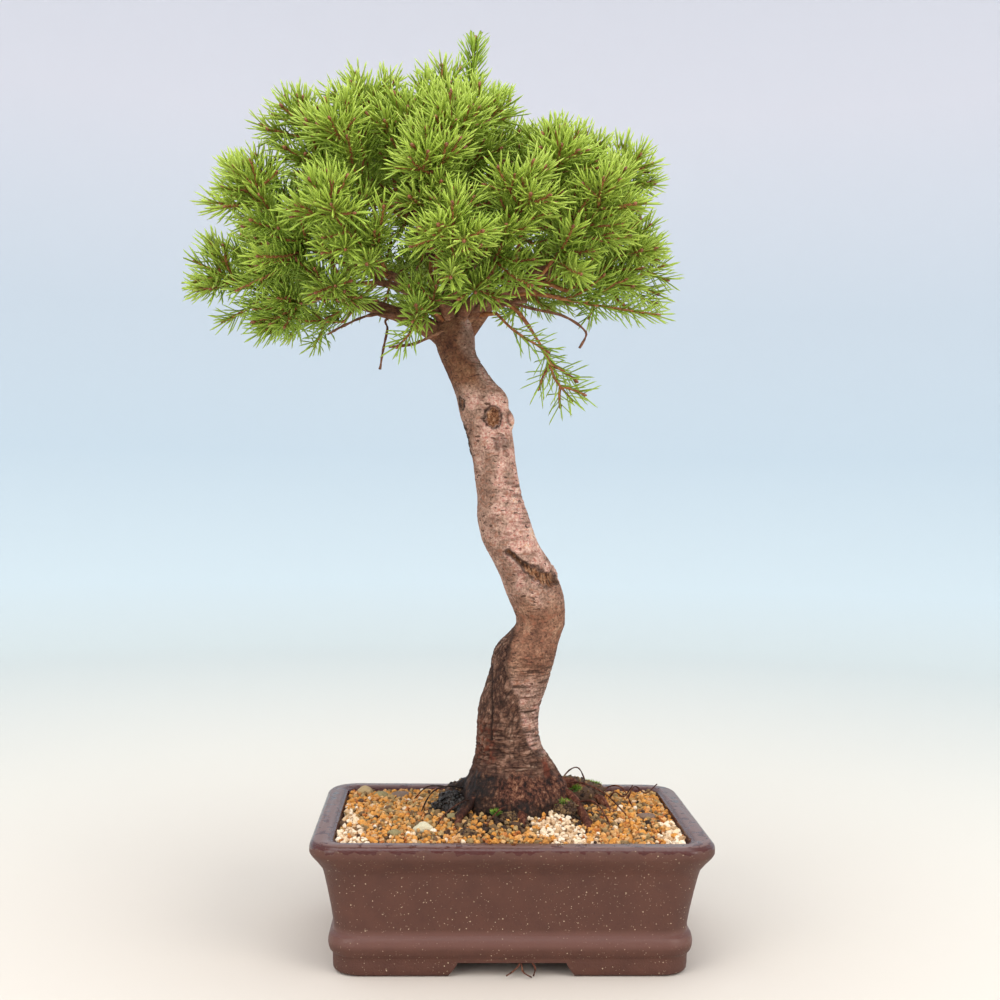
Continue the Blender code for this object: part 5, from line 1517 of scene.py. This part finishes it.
def make_trunk(material):
    """The trunk, with lobes towards its roots, lumps, and the relief and finishes of its bark."""
    trunk = plain_trunk()
    places = places_of(trunk.data)
    finishes = {name: np.zeros(len(places)) for name in BARK_FINISHES}
    lowest, highest = TRUNK_STATIONS[0][0], TRUNK_STATIONS[-1][0]
    for number, place in enumerate(places):
        z = min(max(place[2], lowest), highest)
        x, y, radius = station_at(z)
        arm = Vector((place[0] - x, place[1] - y, 0.0))
        if arm.length < radius * 0.6:
            continue
        way = arm.normalized()
        lump = noise.noise(Vector((way.x, way.y, z / TRUNK_LUMP_PITCH)) * 1.3)
        radius = arm.length * (1 + TRUNK_LUMP_SHARE * lump) + root_lobes(way, z)
        surface = Vector((x, y, z)) + way * radius
        relief, bark = bark_at(surface, way)
        place[:] = surface + way * relief
        for name, value in bark.items():
            finishes[name][number] = value
    move_to_places(trunk.data, places)
    for name, values in finishes.items():
        write_attribute(trunk.data, name, values)
    trunk.data.materials.append(material)
    shade(trunk)
    finish_piece(trunk, "bark", "tree_wood")


def make_stems(name, stems, resolution, material):
    """Round stems with a radius at each point, as one mesh. Each stem is its path and its radii."""
    curve = bpy.data.curves.new(name, "CURVE")
    curve.dimensions = "3D"
    curve.bevel_depth = 1.0
    curve.bevel_resolution = resolution
    curve.use_fill_caps = True
    for path, radii in stems:
        spline = curve.splines.new("POLY")
        spline.points.add(len(path) - 1)
        for point, place, radius in zip(spline.points, path, radii):
            point.co = (*place, 1.0)
            point.radius = radius
    select_only(linked_object(name, curve))
    bpy.ops.object.convert(target="MESH")
    stem = bpy.context.object
    stem.data.materials.clear()
    stem.data.materials.append(material)
    shade(stem)
    return stem


def tapered(path, start, end, swell=0.0, pitch=0.004):
    """Radii that fall evenly along a path, uneven by a share of their size."""
    radii = []
    for number, point in enumerate(path):
        radius = mix(start, end, number / (len(path) - 1))
        radii.append(radius * (1 + swell * noise.noise(point / pitch)))
    return radii


def roughen(mesh, depth):
    """Moves a mesh's points along its normals by fractal noise."""
    places = places_of(mesh)
    for vertex, place in zip(mesh.vertices, places):
        place += np.array(vertex.normal) * depth * noise.fractal(Vector(place) / 0.0035, 0.8, 2.0, 4)
    move_to_places(mesh, places)


def make_roots(material):
    """Surface roots that are knotty, taper and go into the soil, and wiry ones that loop over it."""
    stems = []
    for start, end, controls in SURFACE_ROOTS:
        path = smooth_path(controls, 7)
        stems.append((path, tapered(path, start * ROOT_SHARE, end * ROOT_SHARE, 0.5, 0.005)))
    wires = []
    for controls in FINE_ROOTS:
        path = smooth_path(controls, 6)
        wires.append((path, tapered(path, FINE_ROOT_RADIUS, FINE_ROOT_RADIUS * 0.7, 0.35)))
    roots = make_stems("surface_roots", stems, 3, material)
    roughen(roots.data, 0.0010)
    wiry = make_stems("wiry_roots", wires, 2, material)
    roughen(wiry.data, 0.0002)
    roots = join_objects([roots, wiry], "surface_roots")
    places = places_of(roots.data)
    damp = [smooth_between(-0.012, -0.026, x) * smooth_between(-0.032, -0.018, y) for x, y, _ in places]
    write_attribute(roots.data, "damp", damp)
    for name, value in (("old", 1.0), ("skirt", 1.0), ("red", 0.25)):
        write_attribute(roots.data, name, value)
    finish_piece(roots, "bark")


def make_limbs(limbs, material):
    """Limbs and dead twigs, rough with the stubs of shed shoots."""
    stems = []
    for start, end, path in limbs:
        fine = smooth_path(path, 4)
        stems.append((fine, tapered(fine, start, end, 0.16)))
    for start, end, controls in DEAD_TWIGS:
        fine = smooth_path(controls, 6)
        stems.append((fine, tapered(fine, start * DEAD_TWIG_SHARE, end * DEAD_TWIG_SHARE, 0.35, 0.002)))
    limb_mesh = make_stems("limbs", stems, 3, material)
    roughen(limb_mesh.data, 0.0004)
    for name, value in (("old", 0.35), ("brown", 1.0), ("wrinkled", 0.5)):
        write_attribute(limb_mesh.data, name, value)
    finish_piece(limb_mesh, "bark")


# Crown: limbs, twigs and shoots, worked out as paths before any mesh is made


def segment_gap(p0, p1, q0, q1):
    """The least distance between two segments."""
    d1 = p1 - p0
    d2 = q1 - q0
    r = p0 - q0
    a = d1.dot(d1)
    e = d2.dot(d2)
    f = d2.dot(r)
    c = d1.dot(r)
    b = d1.dot(d2)
    spread = a * e - b * b
    s = min(max((b * f - c * e) / spread, 0.0), 1.0) if spread > 1e-14 else 0.0
    t = (b * s + f) / e
    if t < 0.0:
        t = 0.0
        s = min(max(-c / a, 0.0), 1.0)
    elif t > 1.0:
        t = 1.0
        s = min(max((b - c) / a, 0.0), 1.0)
    return ((p0 + d1 * s) - (q0 + d2 * t)).length


def crown_value(point):
    """Below 1 inside the crown's shape and 1 on it."""
    across, deep, up = [abs(point[axis] - CROWN_CENTRE[axis]) / CROWN_HALF[axis] for axis in range(3)]
    return across**CROWN_SIDE_EXPONENT + deep**CROWN_EXPONENT + up**CROWN_EXPONENT


def crown_reach(start, way):
    distance = 0.0
    while crown_value(start + way * distance) < 1.0:
        distance += 0.002
    return distance


def crown_tip(sine, azimuth, depth):
    """A shoot's tip on the crown, which slopes down to the left below and dips beside the leader."""
    level = math.sqrt(1 - sine * sine)
    way = Vector((level * math.cos(azimuth), level * math.sin(azimuth), sine))
    tip = CROWN_CENTRE + way * (crown_reach(CROWN_CENTRE, way) - depth)
    highness = min(max((tip.z - CROWN_CENTRE.z) / CROWN_HALF.z, 0.0), 1.0)
    notch = bell(tip.x - CROWN_NOTCH_X, CROWN_NOTCH_WIDTH)
    tip.z += CROWN_TILT * (tip.x - CROWN_CENTRE.x) * (1.0 - highness)
    tip.z -= CROWN_NOTCH_DEPTH * notch * highness
    return tip


def way_of(azimuth, elevation):
    across = math.cos(math.radians(elevation))
    return Vector((
        across * math.cos(math.radians(azimuth)),
        across * math.sin(math.radians(azimuth)),
        math.sin(math.radians(elevation)),
    ))


def ruled_limb(start, way, draw):
    """A limb that leaves steeply, flattens, and ends part of the way to the crown's surface."""
    length = crown_reach(start, way) * LIMB_SHARE
    across = way.cross(Vector((0.0, 0.0, 1.0))).normalized()
    controls = [start.copy()]
    for share in (0.3, 0.65, 1.0):
        bow = Vector((0.0, 0.0, LIMB_BOW * math.sin(math.pi * share)))
        kink = across * draw.uniform(-LIMB_KINK, LIMB_KINK)
        controls.append(start + way * (length * share) + bow + kink)
    return controls


def grow_limbs(draw):
    """Every limb as its start radius, its end radius and its path."""
    limbs = [(start, end, [Vector(control) for control in controls]) for start, end, controls in GIVEN_LIMBS]
    for azimuth in LOW_LIMB_AZIMUTHS:
        way = way_of(azimuth, LOW_LIMB_ELEVATION + draw.uniform(-5, 5))
        limbs.append((*LOW_LIMB_RADII, ruled_limb(CROTCH, way, draw)))
    for azimuth in HIGH_LIMB_AZIMUTHS:
        start = HIGH_LIMB_START + Vector((0.0, 0.0, draw.uniform(-0.008, 0.010)))
        way = way_of(azimuth, HIGH_LIMB_ELEVATION + draw.uniform(-6, 6))
        limbs.append((*HIGH_LIMB_RADII, ruled_limb(start, way, draw)))
    return limbs


def twig_path(start, start_way, end, end_way):
    """A cubic curve that leaves along one way and arrives along another."""
    pull = 0.4 * (end - start).length
    a = start + start_way * pull
    b = end - end_way * pull
    path = []
    for step in range(TWIG_STEPS + 1):
        t = step / TWIG_STEPS
        rest = 1 - t
        path.append(start * rest**3 + a * 3 * t * rest**2 + b * 3 * t * t * rest + end * t**3)
    return path


def choose_limb(base, way, limbs):
    """The best place for a twig to this base to leave from: limb, share of its length, point and way."""
    best = None
    for number, (_, _, path) in enumerate(limbs):
        for share in JOINT_SHARES:
            joint = point_along(path, share)
            tangent = (joint - point_along(path, share - 0.1)).normalized()
            span = base - joint
            straightness = span.normalized().dot((tangent + way * 3).normalized())
            cost = span.length * (1 + TWIG_TURN_COST * (1 - straightness))
            if best is None or cost < best[0]:
                best = (cost, number, share, joint, tangent)
    return best[1:]


def axis_path(tip, way, length):
    """A needled axis that ends at the tip and bends up a little on its way there."""
    path = []
    for share in (0.0, 0.5, 1.0):
        sag = Vector((0.0, 0.0, -AXIS_SAG * math.sin(math.pi * share)))
        path.append(tip - way * length * (1 - share) + sag)
    return smooth_path(path, 3)


def path_gap(path, others):
    """The least distance from a path to a list of segments."""
    least = 1.0
    for p0, p1 in segments_of(path):
        for q0, q1 in others:
            least = min(least, segment_gap(p0, p1, q0, q1))
    return least


def segments_of(path):
    return list(zip(path, path[1:]))


def grow_branchlet(number, limbs, cores, twigs, draw):
    """A twig and a needled axis whose tip is the next place on the crown: the clearest of several tries."""
    share = (number + 0.5) / BRANCHLET_COUNT
    usual_sine = CROWN_LOWEST_SINE + (CROWN_HIGHEST_SINE - CROWN_LOWEST_SINE) * share**CROWN_TOP_WEIGHT
    limb_segments = [pair for _, _, path in limbs for pair in segments_of(path)]
    best = None
    for _ in range(BRANCHLET_TRIES):
        azimuth = number * GOLDEN_ANGLE + draw.uniform(-0.12, 0.12)
        sine = min(max(usual_sine + draw.uniform(-0.03, 0.03), -0.08), 0.99)
        tip = crown_tip(sine, azimuth, draw.uniform(0.0, CROWN_TIP_DEPTH))
        outward = (tip - CROTCH).normalized()
        way = (outward + Vector((0.0, 0.0, draw.uniform(0.0, 0.25)))).normalized()
        axis = axis_path(tip, way, min(AXIS_LENGTH, AXIS_LARGEST_SHARE * (tip - CROTCH).length))
        base_way = (axis[1] - axis[0]).normalized()
        limb, joint_share, joint, joint_way = choose_limb(axis[0], base_way, limbs)
        twig = twig_path(joint - joint_way * JOINT_SINK, joint_way, axis[0], base_way)
        gap = min(path_gap(axis, cores + twigs + limb_segments), path_gap(twig, cores) + CORE_CLEARANCE)
        if best is None or gap > best[0]:
            best = (gap, twig, axis, limb, joint_share)
        if gap > BRANCHLET_CLEARANCE:
            break
    return best[1:]


def lateral_path(root, axis_way, side_way, length):
    """A side shoot that leaves at a wide angle and turns towards the way of its axis."""
    path = [root.copy()]
    for step in range(LATERAL_STEPS):
        lean = math.radians(LATERAL_LEAN + (LATERAL_TIP_LEAN - LATERAL_LEAN) * step / (LATERAL_STEPS - 1))
        way = axis_way * math.cos(lean) + side_way * math.sin(lean)
        path.append(path[-1] + way * length / LATERAL_STEPS)
    return path


def grow_laterals(axis, whorls, cores, draw):
    """Side shoots in whorls round an axis, each turned or shortened until it clears every other core."""
    frames = carried_frames(axis)
    laterals = []
    turn = draw.uniform(0.0, 2 * math.pi)
    for share, count in whorls:
        root = point_along(axis, share)
        place = min(int(share * (len(axis) - 1)), len(axis) - 2)
        axis_way, side, other = frames[place]
        turn += math.pi / 3
        usual_length = LATERAL_LENGTH * (1.08 - 0.4 * share)
        for k in range(count):
            for attempt in range(LATERAL_TRIES):
                azimuth = turn + 2 * math.pi * k / count + (attempt % 4) * 0.3 * (-1) ** attempt
                side_way = side * math.cos(azimuth) + other * math.sin(azimuth)
                length = usual_length * draw.uniform(*UNEVEN_SIZES) * (1 - 0.05 * attempt)
                path = lateral_path(root, axis_way, side_way, length)
                if path_gap(path[1:], cores) > CORE_CLEARANCE:
                    laterals.append((share, path))
                    cores.extend(segments_of(path)[1:])
                    break
    return laterals


def trim_limbs(limbs, reached):
    """Ends each limb at its last twig, and leaves out a limb that carries none."""
    trimmed = []
    for number, (start, end, path) in enumerate(limbs):
        if number not in reached:
            continue
        share = reached[number]
        length = path_length(path)
        kept = [path[0]]
        along = 0.0
        for before, point in segments_of(path):
            along += (point - before).length
            if along < share * length - LIMB_SHORTEST_STEP:
                kept.append(point)
        kept.append(point_along(path, share))
        trimmed.append((start, start + (end - start) * share, kept))
    return trimmed


def grow_crown():
    """Limbs, twigs and branchlets. A branchlet is its name, its twig, its axis and its side shoots."""
    draw = random.Random(CROWN_SEED)
    limbs = grow_limbs(draw)
    limb_segments = [pair for _, _, path in limbs for pair in segments_of(path)]
    twigs = [pair for _, _, controls in DEAD_TWIGS for pair in segments_of(smooth_path(controls, 2))]
    cores = []
    planned = []
    reached = {number: 1.0 for number in range(len(GIVEN_LIMBS))}
    for name, count, twig_controls, axis_controls in FEATURE_BRANCHLETS:
        twig = smooth_path(twig_controls, 2)
        axis = smooth_path((twig_controls[-1], *axis_controls), 3)
        planned.append((f"branchlet_{name}", twig, axis, ((FEATURE_WHORL, count),) if count else ()))
        cores.extend(segments_of(axis))
        twigs.extend(segments_of(twig))
    for number in range(BRANCHLET_COUNT):
        twig, axis, limb, joint_share = grow_branchlet(number, limbs, cores, twigs, draw)
        reached[limb] = max(reached.get(limb, 0.0), joint_share)
        planned.append((f"branchlet_{number + 1:02d}", twig, axis, tuple(zip(AXIS_WHORLS, WHORL_LATERALS))))
        cores.extend(segments_of(axis))
        twigs.extend(segments_of(twig))
    obstacles = cores + twigs + limb_segments
    branchlets = []
    for name, twig, axis, whorls in planned:
        others = [pair for pair in obstacles if pair[0] not in axis and pair[1] not in axis]
        laterals = grow_laterals(axis, whorls, others, draw)
        for _, path in laterals:
            obstacles.extend(segments_of(path)[1:])
        branchlets.append((name, twig, axis, laterals))
    return trim_limbs(limbs, reached), branchlets


# Needles, buds and sprays


def grown_template(sides, foot, steps):
    """A small closed form of unit length, drawn up ring by ring from its foot: places and faces."""
    deselect_all()
    bpy.ops.mesh.primitive_circle_add(vertices=sides, radius=foot, fill_type="NGON", location=(0.0, 0.0, 0.0))
    begin_edit()
    width = foot
    for rise, next_width in steps:
        bpy.ops.mesh.extrude_region_move(TRANSFORM_OT_translate={"value": (0.0, 0.0, rise)})
        growth = next_width / width
        bpy.ops.transform.resize(value=(growth, growth, 1.0))
        width = next_width
    bpy.ops.mesh.merge(type="CENTER")
    bpy.ops.mesh.select_all(action="SELECT")
    bpy.ops.mesh.normals_make_consistent(inside=False)
    bpy.ops.mesh.quads_convert_to_tris()
    bpy.ops.object.mode_set(mode="OBJECT")
    return taken_apart(bpy.context.object)


def frame_along(way, up):
    """Columns that carry a template's axes: across, its back, and its length along the way."""
    across = way.cross(up)
    if across.length < 1e-4:
        across = way.cross(Vector((1.0, 0.0, 0.0)))
    across.normalize()
    return np.array((across, across.cross(way), way)).T


def needles_on(path, habit, draw):
    """Needles round a shoot in the order that they grow: foot, way, the shoot's way, length and share."""
    crowding, usual_lean, growth, bare = habit
    length = path_length(path)
    count = max(int(length * NEEDLES_PER_METRE * crowding), FEWEST_NEEDLES)
    frames = carried_frames(path)
    turn = draw.uniform(0.0, 2 * math.pi)
    grown = []
    for number in range(int(count * bare), count):
        share = (number + draw.uniform(0.2, 0.8)) / count
        foot = point_along(path, share)
        tangent, side, other = frames[min(int(share * (len(path) - 1)), len(path) - 1)]
        angle = turn + number * GOLDEN_ANGLE + draw.gauss(0, 0.14)
        sideways = side * math.cos(angle) + other * math.sin(angle)
        near_tip = smooth_between(0.011, 0.0, length * (1 - share))
        lean = math.radians(mix(usual_lean, NEEDLE_TIP_LEAN, near_tip) + draw.gauss(0, 8))
        way = tangent * math.cos(lean) + sideways * math.sin(lean) + Vector((0.0, 0.0, NEEDLE_LIFT))
        way.normalize()
        size = growth * NEEDLE_LENGTH * draw.uniform(*UNEVEN_SIZES) * mix(1.0, 0.86, near_tip)
        grown.append((foot + sideways * SHOOT_RADIUS * 0.5, way, tangent, size, share))
    return grown


def side_shoot(path, share, length, angle):
    """A shoot that leaves a path at a share of its length, at an angle round it."""
    frames = carried_frames(path)
    way, side, other = frames[min(int(share * (len(path) - 1)), len(path) - 2)]
    side_way = side * math.cos(angle) + other * math.sin(angle)
    return lateral_path(point_along(path, share), way, side_way, length)


def shoots_of(name, twig, axis, laterals, draw):
    """Every needled shoot of a branchlet: its path, and how many buds it may end in."""
    shoots = [(smooth_path(axis, 2), 3)]
    shoots.extend((smooth_path(lateral, 2), 3) for _, lateral in laterals)
    sparse = name.removeprefix("branchlet_") in SPARSE_BRANCHLETS
    pairs = HANGING_PAIRS if name.endswith("hanging_long") else () if sparse else AXIS_PAIRS
    lowest = min(point.z for point in axis) - SMALL_SHOOT_HANG
    for share, length in pairs:
        turn = draw.uniform(0.0, math.pi)
        for angle in (turn, turn + math.pi):
            size = length * draw.uniform(0.80, 1.05)
            shoots.append((side_shoot(axis, share, size, angle + draw.gauss(0, 0.3)), 1))
    if sparse:
        return shoots
    for _, lateral in laterals:
        share, length = LATERAL_PAIR
        for angle in (0.0, math.pi):
            size = length * draw.uniform(0.85, 1.10)
            shoots.append((side_shoot(lateral, share, size, angle + draw.gauss(0, 0.25)), 1))
    length = path_length(twig)
    for step in range(1, int(length / TWIG_SHOOT_PITCH) + 1):
        share = min(step * TWIG_SHOOT_PITCH / length, 0.97)
        if crown_value(point_along(twig, share)) > TWIG_SHOOT_DEPTH:
            size = TWIG_SHOOT_LENGTH * draw.uniform(0.75, 1.1)
            shoots.append((side_shoot(twig, share, size, draw.uniform(0.0, 2 * math.pi)), 1))
    main = 1 + len(laterals)
    return shoots[:main] + [shoot for shoot in shoots[main:] if shoot[0][-1].z > lowest]


def make_leaves(name, template, needles, material):
    """A spray's needles as one mesh, each bent a little towards the way of its shoot."""
    feet, ways, tangents, sizes, shares, tints, widths = zip(*needles)
    widths = np.array(widths)
    scales = np.stack((widths * NEEDLE_WIDTH, widths * NEEDLE_THICKNESS, sizes), axis=1)
    frames = np.array([frame_along(way, tangent) for way, tangent in zip(ways, tangents)])
    places, faces = copies_of(template, frames, scales, np.array(feet))
    corners = len(template[0])
    along = np.tile(template[0][:, 2], len(needles))
    places = places + np.repeat(np.array(tangents), corners, axis=0) * (along**2 * NEEDLE_BEND)[:, None]
    leaves = new_object(f"{name}_needles", places.tolist(), faces.tolist(), material)
    tips = [foot + way * size for foot, way, size in zip(feet, ways, sizes)]
    lights = [needle_painted_light(tip, share) for tip, share in zip(tips, shares)]
    write_attribute(leaves.data, "along", along)
    write_attribute(leaves.data, "tint", np.repeat(tints, corners))
    write_attribute(leaves.data, "light", np.repeat(lights, corners))
    shade(leaves)
    return leaves


def make_buds(name, template, buds, material):
    """The buds at the ends of a spray's shoots, as one mesh."""
    frames = np.array([frame_along(way, Vector((0.3, 0.5, 0.8))) for _, way, _ in buds])
    scales = np.array([(BUD_RADIUS * scale, BUD_RADIUS * scale, BUD_LENGTH * scale) for _, _, scale in buds])
    places, faces = copies_of(template, frames, scales, np.array([foot for foot, _, _ in buds]))
    tips = new_object(f"{name}_buds", places.tolist(), faces.tolist(), material)
    shade(tips)
    return tips


def make_spray(name, nodes, stems, shoots, habit, usual_tint, kit):
    """One piece: shoots with their buds and needles, from a kit of templates, materials and random draws."""
    needle, bud, materials, draw = kit
    needles = []
    buds = []
    for path, most_buds in shoots:
        stems.append((path, tapered(path, SHOOT_RADIUS, SHOOT_TIP_RADIUS, 0.22, 0.0016)))
        shoot_tint = draw.random() if usual_tint is None else usual_tint
        for grown in needles_on(path, habit, draw):
            tint = mix(shoot_tint, draw.random(), TINT_SPREAD)
            needles.append((*grown, tint, draw.uniform(*UNEVEN_SIZES)))
        tip_way = (path[-1] - path[-2]).normalized()
        for number in range(draw.randint(1, most_buds)):
            spread = Vector([draw.gauss(0, 0.5) for _ in range(3)]) if number else Vector()
            way = (tip_way + spread).normalized()
            size = draw.uniform(0.8, 1.1) * (SIDE_BUD_SHARE if number else 1.0)
            buds.append((path[-1] - way * BUD_SINK, way, size))
    spray = join_objects([
        make_stems(name, stems, 0, materials["shoot"]),
        make_leaves(name, needle, needles, materials["needle"]),
        make_buds(name, bud, buds, materials["bud"]),
    ], name)
    move_to_places(spray.data, np.clip(places_of(spray.data), LOWEST_PLACE, HIGHEST_PLACE))
    finish_piece(spray, "needles", *nodes)


def needle_painted_light(tip, share):
    """Painted light on a needle: most at the crown's outside and top, where the light falls, and more towards
    the ends of shoots.
    """
    outside = smooth_between(0.20, 1.0, crown_value(tip))
    above = smooth_between(-0.8, 0.8, (tip.z - CROWN_CENTRE.z) / CROWN_HALF.z)
    return 0.46 * outside + 0.20 * above + 0.20 * share**1.5 + 0.10


def fill_shoots(stems, needled, draw):
    """Shoots from the nearest limb or twig into the places inside the crown that are still empty."""
    stems = np.array(stems)
    needled = list(needled)
    grown = []
    for _ in range(FILL_TRIES):
        place = CROWN_CENTRE + Vector([half * draw.uniform(-1, 1) for half in CROWN_HALF])
        if place.z < FILL_FLOOR or not FILL_DEPTHS[0] < crown_value(place) < FILL_DEPTHS[1]:
            continue
        gaps = np.linalg.norm(stems - np.array(place), axis=1)
        root = Vector(stems[gaps.argmin()])
        if not FILL_REACH[0] < gaps.min() < FILL_REACH[1]:
            continue
        path = smooth_path((root, (root + place) / 2 - Vector((0.0, 0.0, SMALL_SHOOT_HANG / 2)), place), 3)
        if np.linalg.norm(np.array(needled) - np.array(path[-1]), axis=1).min() > FILL_GAP:
            grown.append((path, 1))
            needled.extend(path)
    return grown


def make_sprays(limbs, branchlets, materials):
    """Every needled branchlet of the crown, and the shoots that fill the rest of it."""
    draw = random.Random(NEEDLE_SEED)
    kit = (grown_template(*NEEDLE_FORM), grown_template(*BUD_FORM), materials, draw)
    woody = [point for _, _, path in limbs for point in smooth_path(path, 2)]
    needled = []
    for name, twig, axis, laterals in branchlets:
        fine_twig = smooth_path(twig, 4)
        stems = [(fine_twig, tapered(fine_twig, *TWIG_RADII, 0.2, 0.002))]
        kind = "leader" if name == "branchlet_leader" else "hanging" if "hanging" in name else "usual"
        shoots = shoots_of(name, twig, axis, laterals, draw)
        tint = LEADER_TINT if kind == "leader" else None
        make_spray(name.replace("branchlet", "spray"), [name], stems, shoots, NEEDLE_HABITS[kind], tint, kit)
        woody.extend(fine_twig)
        needled.extend(point for path, _ in shoots for point in path)
    fillers = fill_shoots(woody, needled, draw)
    make_spray("inner_shoots", [], [], fillers, NEEDLE_HABITS["usual"], None, kit)


# Stage, light and camera


def make_stage():
    """A round sheet of paper that lies flat under the pot and curves up all round."""
    deselect_all()
    bpy.ops.mesh.primitive_circle_add(vertices=96, radius=STAGE_FLAT_RADIUS, fill_type="NGON")
    sheet = bpy.context.object
    sheet.name = "paper_sheet"
    bpy.ops.object.mode_set(mode="EDIT")
    bpy.ops.mesh.select_mode(type="EDGE")
    bpy.ops.mesh.select_all(action="SELECT")
    bpy.ops.mesh.region_to_loop()
    radius, height = STAGE_FLAT_RADIUS, 0.0
    curve = [
        (STAGE_FLAT_RADIUS + STAGE_CURVE * math.sin(angle), STAGE_CURVE * (1 - math.cos(angle)))
        for angle in (math.pi / 2 * step / 16 for step in range(1, 17))
    ]
    for next_radius, next_height in [*curve, (STAGE_FLAT_RADIUS + STAGE_CURVE, STAGE_HEIGHT)]:
        bpy.ops.mesh.extrude_edges_move(TRANSFORM_OT_translate={"value": (0.0, 0.0, next_height - height)})
        growth = next_radius / radius
        bpy.ops.transform.resize(value=(growth, growth, 1.0), center_override=(0.0, 0.0, next_height))
        radius, height = next_radius, next_height
    bpy.ops.mesh.select_mode(type="VERT")
    bpy.ops.object.mode_set(mode="OBJECT")
    sheet.data.materials.append(backdrop_material())
    bpy.ops.object.shade_smooth()
    sheet.data.transform(Matrix.Translation(POT_CENTRE))


def make_light():
    """Pale light from all sides, and three soft lamps aimed at the middle of the tree."""
    world = bpy.data.worlds.new("studio_air")
    bpy.context.scene.world = world
    world.use_nodes = True
    background = world.node_tree.nodes["Background"]
    background.inputs["Color"].default_value = srgb("#e6ecf6")
    background.inputs["Strength"].default_value = WORLD_STRENGTH
    for name, place, size, power, hex_text in LAMPS:
        lamp = bpy.data.lights.new(name, "AREA")
        lamp.shape = "DISK"
        lamp.size = size
        lamp.energy = power
        lamp.color = srgb(hex_text)[:3]
        holder = linked_object(name, lamp)
        holder.location = Vector(place) + POT_CENTRE
        aim = LAMP_AIM + POT_CENTRE - holder.location
        holder.rotation_euler = aim.to_track_quat("-Z", "Y").to_euler()
    bpy.context.scene.view_settings.view_transform = "Standard"


def make_camera():
    """The photograph's own view: yaw to the right, pitch down and a slight roll."""
    data = bpy.data.cameras.new("camera")
    data.sensor_width = SENSOR_WIDTH
    data.lens = CAMERA_FOCUS / PICTURE_WIDTH * SENSOR_WIDTH
    camera = linked_object("camera", data)
    ahead = Vector((
        math.sin(CAMERA_YAW) * math.cos(CAMERA_PITCH),
        math.cos(CAMERA_YAW) * math.cos(CAMERA_PITCH),
        -math.sin(CAMERA_PITCH),
    ))
    level = Vector((math.cos(CAMERA_YAW), -math.sin(CAMERA_YAW), 0.0))
    up = level.cross(ahead)
    right = level * math.cos(CAMERA_ROLL) + up * math.sin(CAMERA_ROLL)
    up = up * math.cos(CAMERA_ROLL) - level * math.sin(CAMERA_ROLL)
    turn = Matrix((right, up, -ahead)).transposed().to_4x4()
    camera.matrix_world = Matrix.Translation(CAMERA_PLACE + POT_CENTRE) @ turn
    bpy.context.scene.camera = camera


make_camera()
make_stage()
make_light()
make_pot(pot_material())
make_soil_bed(grain_material("soil_dust", ((0.2, "#5b3d24"), (0.6, "#946232"), (1.0, "#b79b7c")), 0.95))
soil_finishes = {
    "akadama_grains": grain_material("akadama_clay", (
        (0.0, "#6b5138"), (0.10, "#8f744b"), (0.24, "#b39563"), (0.36, "#bd8240"), (0.52, "#cf8c3d"),
        (0.70, "#dd9b4c"), (0.84, "#d8ae78"), (0.92, "#c27e40"), (1.0, "#a65a24"),
    ), 0.95),
    "pumice_grains": grain_material("washed_pumice", (
        (0.0, "#b8926a"), (0.25, "#dab78f"), (0.60, "#ecd2b0"), (1.0, "#f7e7cf"),
    ), 0.95),
    "humus_crumbs": grain_material("humus_crumbs", (
        (0.0, "#241711"), (0.5, "#4c3423"), (1.0, "#866a45"),
    ), 0.9),
    "wet_humus": grain_material("wet_humus", ((0.2, "#0e0b09"), (0.8, "#2a1f18")), 0.4),
    "tan_stone": grain_material("tan_stone", ((0.3, "#9b8058"), (0.7, "#c4a87c")), 0.8),
    "brown_stone": grain_material("brown_stone", ((0.3, "#5c4638"), (0.7, "#8d7361")), 0.7),
    "green_stone": grain_material("grey_green_stone", ((0.3, "#6f6440"), (0.7, "#a8986b")), 0.8),
    "cream_stone": grain_material("cream_stone", ((0.3, "#b5ab80"), (0.7, "#ebe0c8")), 0.85),
}
make_grains(soil_finishes)
make_stones(soil_finishes)
make_moss(moss_material())
bark = bark_material()
make_trunk(bark)
make_roots(bark)
crown_limbs, crown_branchlets = grow_crown()
make_limbs(crown_limbs, bark)
needled = {"needle": needle_material(), "shoot": shoot_material(), "bud": bud_material()}
make_sprays(crown_limbs, crown_branchlets, needled)
plastic = mesh_material()
for node in ("drain_mesh_left", "drain_mesh_right"):
    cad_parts[node].material_slots[0].material = plastic
